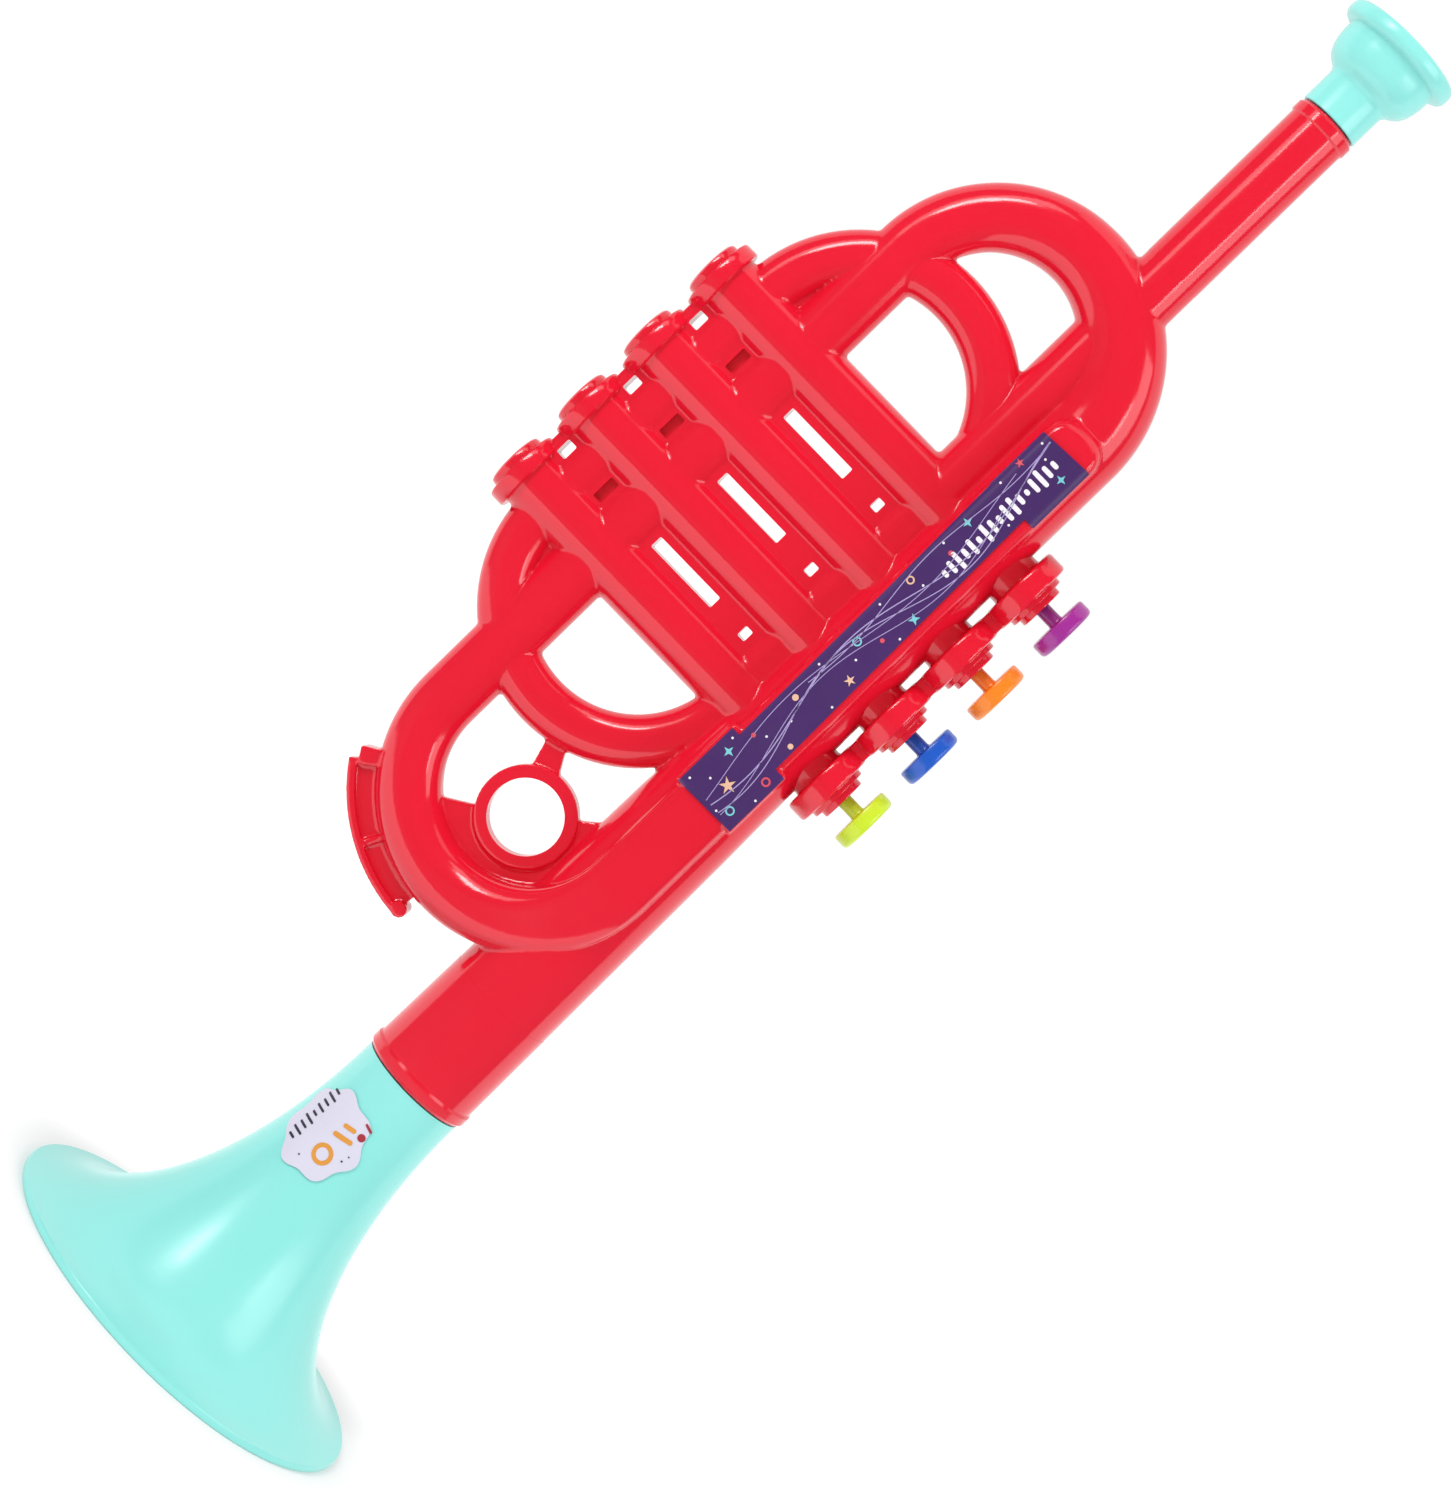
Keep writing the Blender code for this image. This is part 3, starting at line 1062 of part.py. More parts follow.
def finish(obj, colour, frame):
    """Give a piece its material and shading and hang it on the trumpet's frame."""
    obj.data.materials.clear()
    obj.data.materials.append(make_material(obj.name, colour))
    obj.data.shade_smooth()
    obj.data.set_sharp_from_angle(angle=SMOOTH_ANGLE)
    obj.parent = frame


def main():
    clear_scene()
    frame = bpy.data.objects.new("trumpet_frame", None)
    bpy.context.scene.collection.objects.link(frame)
    frame.location = (bell_axis_x, 0, 0)
    pieces = [(shell, "red") for shell in shells()]
    pieces += [(piece, "teal") for piece in make_bell() + make_mouthpiece()]
    for i, (name, z) in enumerate(zip(button_names, row_zs), start=1):
        pieces += [(make_button(name, z), name), (make_pad(i, z), "rubber"), (make_clip(i, z), "steel"),
                   (make_spring(i, z), "steel"), (make_reed(i, z), "brass")]
        pieces.append((make_rivet(i, z), "brass"))
    pieces += [(make_screw(i, place), "steel") for i, place in enumerate(screw_places(), start=1)]
    pieces += [(make_reed_frame(), "ivory"), (make_reed_plate(), "ivory"),
               (make_panel_label(), "label"), (make_bell_label(), "sticker")]
    for piece, colour in pieces:
        finish(piece, colour, frame)
    print(f"{len(pieces)} pieces, {sum(len(p.data.loop_triangles) for p, _ in pieces)} triangles")


main()
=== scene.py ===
import math

import bmesh
import bpy
from mathutils import Matrix, Vector
from mathutils.geometry import interpolate_bezier


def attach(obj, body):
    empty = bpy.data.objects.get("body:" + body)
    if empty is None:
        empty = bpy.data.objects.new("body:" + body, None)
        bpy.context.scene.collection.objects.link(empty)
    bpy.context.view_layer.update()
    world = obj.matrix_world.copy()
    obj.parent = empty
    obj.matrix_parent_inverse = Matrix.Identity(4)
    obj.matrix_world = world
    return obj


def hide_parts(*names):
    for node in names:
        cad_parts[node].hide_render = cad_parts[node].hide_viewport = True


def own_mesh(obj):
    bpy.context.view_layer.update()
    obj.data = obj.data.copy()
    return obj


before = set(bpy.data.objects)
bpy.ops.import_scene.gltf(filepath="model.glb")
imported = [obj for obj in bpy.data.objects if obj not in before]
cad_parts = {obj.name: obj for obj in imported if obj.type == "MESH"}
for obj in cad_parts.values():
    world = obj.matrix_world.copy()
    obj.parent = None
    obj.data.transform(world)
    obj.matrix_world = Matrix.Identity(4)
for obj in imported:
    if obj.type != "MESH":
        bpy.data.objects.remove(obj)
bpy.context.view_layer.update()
print("packed trumpet loaded")

# Sizes are in millimetres, as measured upright on the photograph, with Y into the picture.
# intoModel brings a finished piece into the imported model's place.
mm = 0.001
intoModel = Matrix.Translation((0.01695, 0, -0.0022)) @ Matrix.Scale(mm, 4)
rowPitch = 19.1
rowHeights = [177.5 + i * rowPitch for i in range(4)]
lowRow, topRow = rowHeights[0], rowHeights[-1]
mergeDistance = 0.0005


def linked(name, data):
    obj = bpy.data.objects.new(name, data)
    bpy.context.scene.collection.objects.link(obj)
    return obj


def newObject(name, bm):
    mesh = bpy.data.meshes.new(name)
    bm.to_mesh(mesh)
    bm.free()
    return linked(name, mesh)


def bakeModifiers(obj):
    bpy.context.view_layer.update()
    shaped = obj.evaluated_get(bpy.context.evaluated_depsgraph_get())
    mesh = bpy.data.meshes.new_from_object(shaped)
    obj.modifiers.clear()
    obj.data = mesh
    return obj


def boolean(base, forms, operation="DIFFERENCE"):
    # one modifier for each form, then all are applied and the tools go
    tools = [form if isinstance(form, bpy.types.Object) else newObject("tool", form) for form in forms]
    for tool in tools:
        cut = base.modifiers.new(tool.name, "BOOLEAN")
        cut.operation = operation
        cut.solver = "MANIFOLD"
        cut.object = tool
        tool.hide_render = True
    bakeModifiers(base)
    for tool in tools:
        bpy.data.objects.remove(tool, do_unlink=True)
    return base


def dress(obj, body, material, slotName, stands, sharpAngle=40):
    # its finish, shading and body, and the CAD nodes that it stands for
    obj.data.materials.clear()
    obj.data.materials.append(material)
    obj.data.shade_smooth()
    obj.data.set_sharp_from_angle(angle=math.radians(sharpAngle))
    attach(obj, body)
    if stands:
        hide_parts(*stands)
    return obj


def settle(obj, *facts):
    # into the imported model's place, then dressed
    obj.data.transform(intoModel)
    return dress(obj, *facts)


def onlyVerts(geometry):
    return [g for g in geometry if isinstance(g, bmesh.types.BMVert)]


def outward(bm):
    # merged, with its faces pointing out
    bmesh.ops.remove_doubles(bm, verts=bm.verts, dist=mergeDistance)
    bmesh.ops.recalc_face_normals(bm, faces=bm.faces)
    return bm


def roundOff(bm, places, radius, steps, affect="EDGES"):
    bmesh.ops.bevel(bm, geom=places, offset=radius, offset_type="OFFSET", segments=steps, profile=0.5,
                    affect=affect, material=-1, clamp_overlap=True)


def slicePlane(bm, point, normal, dist=0.0001, clear=False):
    # a flat cut through everything; with clear, what lies on the normal's side goes
    bmesh.ops.bisect_plane(bm, geom=bm.verts[:] + bm.edges[:] + bm.faces[:], dist=dist,
                           plane_co=point, plane_no=normal, clear_outer=clear)


def standing(x, z, turn=0.0, y=0.0):
    # stands a flat drawing upright at a place, turned in its own plane
    upright = Matrix.Rotation(math.pi / 2, 4, "X")
    return Matrix.Translation((x, y, z)) @ Matrix.Rotation(turn, 4, "Y") @ upright


def lathe(profile, steps, along="Z", at=(0, 0, 0), closed=False):
    # profile of (radius, distance) points spun about an axis through a point
    bm = bmesh.new()
    line = [bm.verts.new((r, 0, h)) for r, h in profile]
    pairs = list(zip(line, line[1:])) + ([(line[-1], line[0])] if closed else [])
    edges = [bm.edges.new(pair) for pair in pairs]
    bmesh.ops.spin(bm, geom=line + edges, cent=(0, 0, 0), axis=(0, 0, 1), angle=2 * math.pi,
                   steps=steps, use_merge=True)
    bmesh.ops.remove_doubles(bm, verts=bm.verts, dist=mergeDistance)
    turn = Matrix.Rotation(math.pi / steps, 4, "Z")
    if along == "X":
        turn = Matrix.Rotation(math.pi / 2, 4, "Y") @ turn
    if along == "Y":
        turn = Matrix.Rotation(-math.pi / 2, 4, "X") @ turn
    bmesh.ops.transform(bm, matrix=Matrix.Translation(at) @ turn, verts=bm.verts)
    return outward(bm)


def rod(radius, start, end, along, at, steps=48):
    place = {"X": (0, at[0], at[1]), "Y": (at[0], 0, at[1]), "Z": (at[0], at[1], 0)}[along]
    return lathe([(0, start), (radius, start), (radius, end), (0, end)], steps, along, place)


def block(low, high):
    bm = bmesh.new()
    bmesh.ops.create_cube(bm, size=1.0)
    bmesh.ops.scale(bm, vec=[b - a for a, b in zip(low, high)], verts=bm.verts)
    bmesh.ops.translate(bm, vec=[(a + b) / 2 for a, b in zip(low, high)], verts=bm.verts)
    return outward(bm)


def plateSolid(bm, halfDepth):
    # a flat outline in the XZ plane, made equally deep on both sides of the parting
    faces = list(bm.faces)
    bmesh.ops.translate(bm, vec=(0, -halfDepth, 0), verts=bm.verts)
    raised = bmesh.ops.extrude_face_region(bm, geom=faces, use_keep_orig=True)
    bmesh.ops.translate(bm, vec=(0, 2 * halfDepth, 0), verts=onlyVerts(raised["geom"]))
    return outward(bm)


def sector(centre, innerRadius, outerRadius, startAngle, endAngle, steps):
    # a flat piece of a ring, from one radial edge spun about the centre
    bm = bmesh.new()
    ends = [bm.verts.new((centre[0] + r * math.cos(startAngle), 0, centre[1] + r * math.sin(startAngle)))
            for r in (innerRadius, outerRadius)]
    edge = bm.edges.new(ends)
    bmesh.ops.spin(bm, geom=ends + [edge], cent=(centre[0], 0, centre[1]), axis=(0, -1, 0),
                   angle=endAngle - startAngle, steps=steps, use_merge=False)
    bmesh.ops.remove_doubles(bm, verts=bm.verts, dist=mergeDistance)
    return bm


def stretchRing(bm, ring, size, back=False):
    # a unit circle made into a rounded rectangle of half width, half depth and corner, or made round again
    width, depth, corner = size
    if not back:
        bmesh.ops.scale(bm, vec=(corner, corner, 1), verts=ring)
    for axis, reach in ((0, width - corner), (1, depth - corner)):
        for side in (-1, 1):
            shift = Vector((0, 0, 0))
            shift[axis] = -side * reach if back else side * reach
            bmesh.ops.translate(bm, vec=shift, verts=[v for v in ring if v.co[axis] * side > 0])
    if back:
        bmesh.ops.scale(bm, vec=(1 / corner, 1 / corner, 1), verts=ring)


def sweepTube(stations, segments=64, closed=False):
    # a station is (x, z, heading, half width, half depth, corner)
    bm = bmesh.new()
    ring = bmesh.ops.create_circle(bm, cap_ends=False, segments=segments, radius=1.0,
                                   matrix=Matrix.Rotation(math.pi / segments, 4, "Z"))["verts"]
    edges = list(bm.edges)
    firstEdges = edges
    for count, (x, z, heading, *size) in enumerate(stations):
        if count:
            grown = bmesh.ops.extrude_edge_only(bm, edges=edges)["geom"]
            ring = onlyVerts(grown)
            edges = [g for g in grown if isinstance(g, bmesh.types.BMEdge)]
            bmesh.ops.transform(bm, matrix=last.inverted(), verts=ring)
            stretchRing(bm, ring, lastSize, back=True)
        stretchRing(bm, ring, size)
        last = Matrix.Translation((x, 0, z)) @ Matrix.Rotation(math.pi / 2 - heading, 4, "Y")
        lastSize = size
        bmesh.ops.transform(bm, matrix=last, verts=ring)
    if not closed:
        bmesh.ops.edgeloop_fill(bm, edges=firstEdges)
        bmesh.ops.edgeloop_fill(bm, edges=edges)
    return outward(bm)


def bend(centre, radius, start, end, steps, firstSize, lastSize):
    # stations along an arc, with an even change of size
    turn = math.copysign(math.pi / 2, end - start)
    stations = []
    for i in range(steps + 1):
        share = i / steps
        angle = start + (end - start) * share
        size = [a + (b - a) * share for a, b in zip(firstSize, lastSize)]
        stations.append((centre[0] + radius * math.cos(angle), centre[1] + radius * math.sin(angle),
                         angle + turn, *size))
    return stations


def newMaterial(name):
    material = bpy.data.materials.new(name)
    material.use_nodes = True
    return material, material.node_tree


def setInputs(node, values):
    for name, value in values.items():
        node.inputs[name].default_value = value


def startFinish(name, roughness, metallic=0.0):
    material, tree = newMaterial(name)
    shader = tree.nodes["Principled BSDF"]
    setInputs(shader, {"Roughness": roughness, "Metallic": metallic, "IOR": 1.58})
    place = tree.nodes.new("ShaderNodeTexCoord")
    return material, tree, shader, place


def noiseOn(tree, place, scale, detail=3.0, roughness=0.55):
    noise = tree.nodes.new("ShaderNodeTexNoise")
    setInputs(noise, {"Scale": scale, "Detail": detail, "Roughness": roughness})
    tree.links.new(place.outputs["Object"], noise.inputs["Vector"])
    return noise


def spread(tree, value, low, high):
    span = tree.nodes.new("ShaderNodeMapRange")
    setInputs(span, {"From Min": 0.3, "From Max": 0.7, "To Min": low, "To Max": high})
    tree.links.new(value, span.inputs["Value"])
    return span.outputs["Result"]


def drifting(tree, shader, noise, colour, shade):
    # the colour drifts to its shade and back with the noise
    mix = tree.nodes.new("ShaderNodeMix")
    mix.data_type = "RGBA"
    setInputs(mix, {"A": (*shade, 1), "B": (*colour, 1)})
    tree.links.new(spread(tree, noise.outputs["Fac"], 0.0, 1.0), mix.inputs["Factor"])
    tree.links.new(mix.outputs["Result"], shader.inputs["Base Color"])


def plastic(name, colour, shade, roughness, roughnessSpread=0.05, bumpDepth=0.03):
    # moulded plastic: a slow drift of tone, faint flow marks in the gloss and a very fine skin
    material, tree, shader, place = startFinish(name, roughness)
    drifting(tree, shader, noiseOn(tree, place, 28, 2.0), colour, shade)
    flow = noiseOn(tree, place, 140, 4.0)
    tree.links.new(spread(tree, flow.outputs["Fac"], roughness - roughnessSpread / 2,
                          roughness + roughnessSpread), shader.inputs["Roughness"])
    skin = noiseOn(tree, place, 900, 5.0, 0.6)
    bump = tree.nodes.new("ShaderNodeBump")
    setInputs(bump, {"Strength": bumpDepth, "Distance": 0.0002})
    tree.links.new(skin.outputs["Fac"], bump.inputs["Height"])
    tree.links.new(bump.outputs["Normal"], shader.inputs["Normal"])
    return material


def metal(name, colour, shade, roughness):
    # drawn or turned metal with a fine grain and slightly dulled patches
    material, tree, shader, place = startFinish(name, roughness, 1.0)
    drifting(tree, shader, noiseOn(tree, place, 260, 3.0), colour, shade)
    lines = noiseOn(tree, place, 1500, 2.0)
    tree.links.new(spread(tree, lines.outputs["Fac"], roughness * 0.7, roughness * 1.4),
                   shader.inputs["Roughness"])
    return material


# colour, darker shade, roughness, and where they differ from the usual its spread and the depth of the skin
finishes = {
    "red": plastic("redPlastic", (0.84, 0.010, 0.034), (0.80, 0.009, 0.030), 0.13, 0.015, 0.01),
    "teal": plastic("tealPlastic", (0.30, 0.86, 0.80), (0.29, 0.845, 0.785), 0.25, 0.02, 0.015),
    "purple": plastic("purplePlastic", (0.40, 0.022, 0.33), (0.36, 0.018, 0.30), 0.24),
    "orange": plastic("orangePlastic", (1.0, 0.27, 0.010), (0.96, 0.24, 0.008), 0.24),
    "blue": plastic("bluePlastic", (0.008, 0.11, 0.60), (0.012, 0.09, 0.56), 0.24),
    "lime": plastic("limePlastic", (0.66, 0.87, 0.025), (0.60, 0.82, 0.020), 0.24),
    "ivory": plastic("ivoryPlastic", (0.78, 0.75, 0.66), (0.74, 0.70, 0.60), 0.42),
    "rubber": plastic("padRubber", (0.045, 0.045, 0.05), (0.03, 0.03, 0.035), 0.75, 0.1, 0.3),
    "steel": metal("springSteel", (0.62, 0.62, 0.64), (0.45, 0.45, 0.47), 0.28),
    "screw": metal("screwSteel", (0.66, 0.66, 0.67), (0.50, 0.50, 0.50), 0.30),
    "brass": metal("reedBrass", (0.80, 0.56, 0.20), (0.66, 0.42, 0.13), 0.30),
    "film": plastic("labelFilm", (0.072, 0.020, 0.155), (0.060, 0.017, 0.135), 0.33, 0.06, 0.06),
    "whiteInk": plastic("whiteInk", (0.93, 0.90, 0.96), (0.90, 0.86, 0.94), 0.36),
    "lilacInk": plastic("lilacInk", (0.50, 0.40, 0.74), (0.42, 0.33, 0.66), 0.36),
    "tealInk": plastic("tealInk", (0.22, 0.68, 0.74), (0.19, 0.60, 0.68), 0.36),
    "coralInk": plastic("coralInk", (0.80, 0.09, 0.13), (0.72, 0.07, 0.11), 0.36),
    "peachInk": plastic("peachInk", (0.90, 0.56, 0.38), (0.84, 0.50, 0.33), 0.36),
    "paper": plastic("paperFilm", (0.76, 0.74, 0.87), (0.72, 0.70, 0.84), 0.40, 0.06, 0.08),
    "orangeInk": plastic("orangeInk", (0.84, 0.36, 0.045), (0.78, 0.31, 0.035), 0.38),
    "redInk": plastic("redInk", (0.42, 0.022, 0.04), (0.38, 0.018, 0.032), 0.38),
    "darkInk": plastic("darkInk", (0.022, 0.016, 0.045), (0.018, 0.013, 0.036), 0.38),
}
print("finishes ready")

housing = {
    "wall": 1.7,
    "voxel": 0.40,
    "quickCoarser": 1.6,
    "smoothSteps": 2,
    "keptShare": 0.455,  # of the facets after the fillets
    "loopX": -26.35,
    "loopRadius": 26.65,
    "upperLoopZ": 265.2,
    "lowerLoopZ": 132.6,
    "barX": 0.3,
    "barDepth": 14.1,
    # half width, start, whether a wall closes the start, end, round of the top, share thinned off at the end
    "barParts": [(6.6, 166.5, 0, 267.2, 6.2, 0.24), (8.0, 156.5, 1, 173.5, 1.0, 0)],
    "barThinnedRun": 6,
    "barEdgeRound": 2.3,
    "barCorner": 2.6,  # where the lower loop runs into the bar
    "barJoinZ": 158.0,
    "barJoinHalfWidth": 7.0,
    "upperLoopSizes": [(0.0, 10.3, 10.3), (0.87, 9.25, 8.9), (1.57, 8.1, 7.4), (2.4, 7.2, 6.2),
                       (math.pi, 6.9, 5.9)],
    "legRadius": 6.9,
    "legDepth": 5.9,
    "ringX": -39.0,
    "ringRadius": 28.0,
    "ringTube": 5.7,
    "ringDepth": 4.9,
    "upperRingZ": 238.7,
    "lowerRingZ": 174.5,
    "crescentEdge": -51.7,
    "crescentHalfDepth": 1.9,
    "leadX": -11.4,
    "leadRadius": 6.9,
    "leadMouth": 346.4,
    "betweenRowsX": -12.9,  # the lead pipe's run between the valve rows
    "betweenRowsRadius": 5.0,
    # left, right, half depth, and how far past the lowest and highest valve
    "webPlates": [(-75.0, -0.3, 3.8, 5.4), (-76.3, -74.8, 3.0, -1.2), (12.6, 16.9, 3.0, -1.2)],
    # left, right, height
    "webCuts": [(-45.9, -28.2, 2.9), (-73.7, -71.3, 3.6), (-20.3, -18.3, 2.7)],
    "webDent": (-61.9, -59.6, 5.4),
    "dentFloor": 1.9,
    "stemHole": 2.1,
    "seamGap": 0.1,
}


def upperLoopSize(angle, inset):
    # half width and depth of the upper loop, which thins evenly from the main pipe to the left leg
    table = housing["upperLoopSizes"]
    for (low, *first), (high, *second) in zip(table, table[1:]):
        if angle <= high:
            break
    share = (angle - low) / (high - low)
    width, depth = [a + (b - a) * share - inset for a, b in zip(first, second)]
    return [width, depth, min(width, depth)]


def upperLoop(start, end, steps, inset):
    loopX, loopZ, radius = housing["loopX"], housing["upperLoopZ"], housing["loopRadius"]
    angles = [start + (end - start) * i / steps for i in range(steps + 1)]
    return [(loopX + radius * math.cos(a), loopZ + radius * math.sin(a), a + math.pi / 2,
             *upperLoopSize(a, inset)) for a in angles]


def wideStations(inset=0.0, overrun=0.0):
    # the main pipe, by (x, height, radius), on into the upper loop
    up = math.pi / 2
    path = [(0.0, 71.5 - overrun, 12.9), (0.0, 150.1, 11.9), (0.3, lowRow, 10.9), (0.3, topRow, 10.3)]
    stations = [(x, z, up, r - inset, r - inset, r - inset) for x, z, r in path]
    return stations + upperLoop(0, 1.8, 40, inset)


def loopStations(inset=0.0):
    # upper loop, left leg and lower loop, which deepens into the raised bar
    loopX, radius = housing["loopX"], housing["loopRadius"]
    leg, shallow, deep = [housing[key] - inset for key in ("legRadius", "legDepth", "barDepth")]
    lastCorner, squareFrom, steps = housing["barCorner"] - inset / 2, 0.35, 56
    stations = upperLoop(1.6, math.pi, 36, inset + 0.02)
    for i in range(steps + 1):
        share = i / steps
        ease = share * share * (3 - 2 * share)
        late = max(0.0, (share - squareFrom) / (1 - squareFrom))
        square = late * late * (3 - 2 * late)
        angle = math.pi * (1 + share)
        width = leg + 0.1 * ease
        corner = shallow + (width - shallow) * ease
        stations.append((loopX + radius * math.cos(angle), housing["lowerLoopZ"] + radius * math.sin(angle),
                         angle + math.pi / 2, width, shallow + (deep - shallow) * ease,
                         corner + (lastCorner - corner) * square))
    stations.append((housing["barX"], housing["barJoinZ"], math.pi / 2, housing["barJoinHalfWidth"] - inset,
                     deep, lastCorner))
    return stations


def ringStations(inset=0.0):
    tube, depth = housing["ringTube"] - inset, housing["ringDepth"] - inset
    size = [tube, depth, depth]
    ringX, radius = housing["ringX"], housing["ringRadius"]
    upper = bend((ringX, housing["upperRingZ"]), radius, 0, math.pi, 48, size, size)
    lower = bend((ringX, housing["lowerRingZ"]), radius, math.pi, 2 * math.pi, 48, size, size)
    return upper + lower + upper[:1]


def raisedBar(inset=0.0):
    # the flat-faced bar under the label: a narrow run with a round end that thins, and a wide foot
    barX, run = housing["barX"], housing["barThinnedRun"]
    deep = housing["barDepth"] - inset
    parts = []
    for halfWidth, start, walled, end, topRound, thinning in housing["barParts"]:
        start, end = start + walled * inset, end - inset
        bm = block((barX - halfWidth + inset, -deep, start), (barX + halfWidth - inset, deep, end))
        top = [e for e in bm.edges if all(v.co.z > end - 0.01 for v in e.verts)
               and abs(e.verts[0].co.y - e.verts[1].co.y) > 1]
        roundOff(bm, top, topRound, 8)
        faces = [e for e in bm.edges if all(abs(abs(v.co.y) - deep) < 0.01 for v in e.verts)
                 and abs(e.verts[0].co.y - e.verts[1].co.y) < 1 and e.calc_face_angle(0) > 1]
        roundOff(bm, faces, housing["barEdgeRound"], 5)
        if thinning:
            for step in range(1, run + 1):
                slicePlane(bm, (0, 0, end - step), (0, 0, 1))
            for v in bm.verts:
                v.co.y *= 1 - thinning * max(0.0, (v.co.z - end + run) / run) ** 2
        parts.append(outward(bm))
    return parts


rowForms = {
    # casing of one valve with its softened cap
    "casing": [(0, -78.6), (4.6, -78.6), (5.7, -78.1), (5.9, -76.9), (7.6, -76.9), (8.2, -76.4), (8.2, -74.6),
               (7.8, -74.2), (7.05, -74.0), (7.05, -0.9), (0, -0.9)],
    # the cap again, for clean edges over the softened one
    "cap": [(0, -79.39), (5.2, -79.39), (5.9, -79.25), (6.35, -78.9), (6.5, -78.4), (6.5, -77.3),
            (8.1, -77.3), (8.45, -77.15), (8.65, -76.8), (8.65, -74.3), (8.5, -73.95), (8.2, -73.8),
            (7.4, -73.8), (7.1, -73.6), (7.05, -73.2), (0, -73.2)],
    # round guide of a button: base, flange and stepped nose
    "collar": [(0, 7.0), (6.2, 7.0), (6.2, 12.0), (6.35, 12.3), (6.7, 12.4), (8.5, 12.4), (8.95, 12.6),
               (9.2, 13.1), (9.2, 16.5), (8.95, 17.0), (8.5, 17.2), (7.0, 17.2), (6.7, 17.3), (6.6, 17.5),
               (6.6, 18.1), (6.5, 18.35), (6.25, 18.45), (5.4, 18.45), (5.15, 18.55), (5.1, 18.8),
               (5.1, 19.6), (5.0, 19.82), (4.8, 19.9), (0, 19.9)],
}


def turned(name, z):
    return lathe(rowForms[name], 96, "X", (0, 0, z))


lowerHub = (housing["loopX"], housing["lowerLoopZ"])
fingerHold = {
    "centre": (-23.8, 127.4),
    "radius": 11.0,
    "bore": 8.2,
    "halfDepth": 2.6,
    "webRadius": 23.1,  # about the lower loop's middle
    "webHalfDepth": 1.6,
    "webWedges": [(-2.57, -0.93), (-0.93, 0.72)],  # angles about the ring's middle
    "neckStart": 9.8,
    "neckEnd": 17.9,
    "neckHalfWidth": 2.1,
    "neckFootScale": 1.5,
    "neckAngle": 1.98,
}


def discPlate(place, radius, cuts, halfDepth):
    # a flat disc, cut straight along some lines and made into a plate
    bm = bmesh.new()
    bmesh.ops.create_circle(bm, cap_ends=True, segments=96, radius=radius, matrix=standing(*place))
    for point, normal in cuts:
        slicePlane(bm, point, normal, mergeDistance, True)
    return plateSolid(bm, halfDepth)


def fingerRing():
    centreX, centreZ = fingerHold["centre"]
    depth, web, wide = fingerHold["halfDepth"], fingerHold["webHalfDepth"], fingerHold["neckHalfWidth"]
    parts = [rod(fingerHold["radius"], -depth, depth, "Y", (centreX, centreZ), 96)]
    for angles in fingerHold["webWedges"]:
        cuts = [((centreX, 0, centreZ), Vector((-math.sin(angle), 0, math.cos(angle))) * side)
                for angle, side in zip(angles, (-1, 1))]
        parts.append(discPlate(lowerHub, fingerHold["webRadius"], cuts, web))
    neck = block((fingerHold["neckStart"], -web, -wide), (fingerHold["neckEnd"], web, wide))
    foot = [v for v in neck.verts if v.co.x < fingerHold["neckStart"] + 0.2]
    bmesh.ops.scale(neck, vec=(1, 1, fingerHold["neckFootScale"]), verts=foot)
    bmesh.ops.rotate(neck, cent=(0, 0, 0), matrix=Matrix.Rotation(-fingerHold["neckAngle"], 3, "Y"),
                     verts=neck.verts)
    bmesh.ops.translate(neck, vec=(centreX, 0, centreZ), verts=neck.verts)
    parts.append(neck)
    return parts


keyPlate = {
    # inner and outer radius and start and end angle about the lower loop's middle, steps, half depth
    "plates": [(30.0, 38.6, 3.77, 4.66, 40, 2.0), (37.7, 39.5, 3.76, 4.67, 40, 3.4),
               (29.7, 39.2, 4.22, 4.26, 4, 3.1), (29.7, 37.4, 3.684, 3.79, 4, 3.7)],
    "boss": (1.7, 3.7, 37.8, 4.66),  # radius, half depth, reach from that middle, angle
}


def waterKey():
    parts = [plateSolid(sector(lowerHub, *shape), halfDepth) for *shape, halfDepth in keyPlate["plates"]]
    radius, deep, reach, angle = keyPlate["boss"]
    place = (lowerHub[0] + reach * math.cos(angle), lowerHub[1] + reach * math.sin(angle))
    parts.insert(3, rod(radius, -deep, deep, "Y", place, 32))
    return parts


def crescents():
    # thin webs in the ends of the inner ring, left of the leg
    parts = []
    for centreZ, side in ((housing["upperRingZ"], 1), (housing["lowerRingZ"], -1)):
        cuts = [((housing["crescentEdge"], 0, 0), (1, 0, 0)), ((0, 0, centreZ), (0, 0, -side))]
        parts.append(discPlate((housing["ringX"], centreZ), housing["ringRadius"], cuts,
                               housing["crescentHalfDepth"]))
    return parts


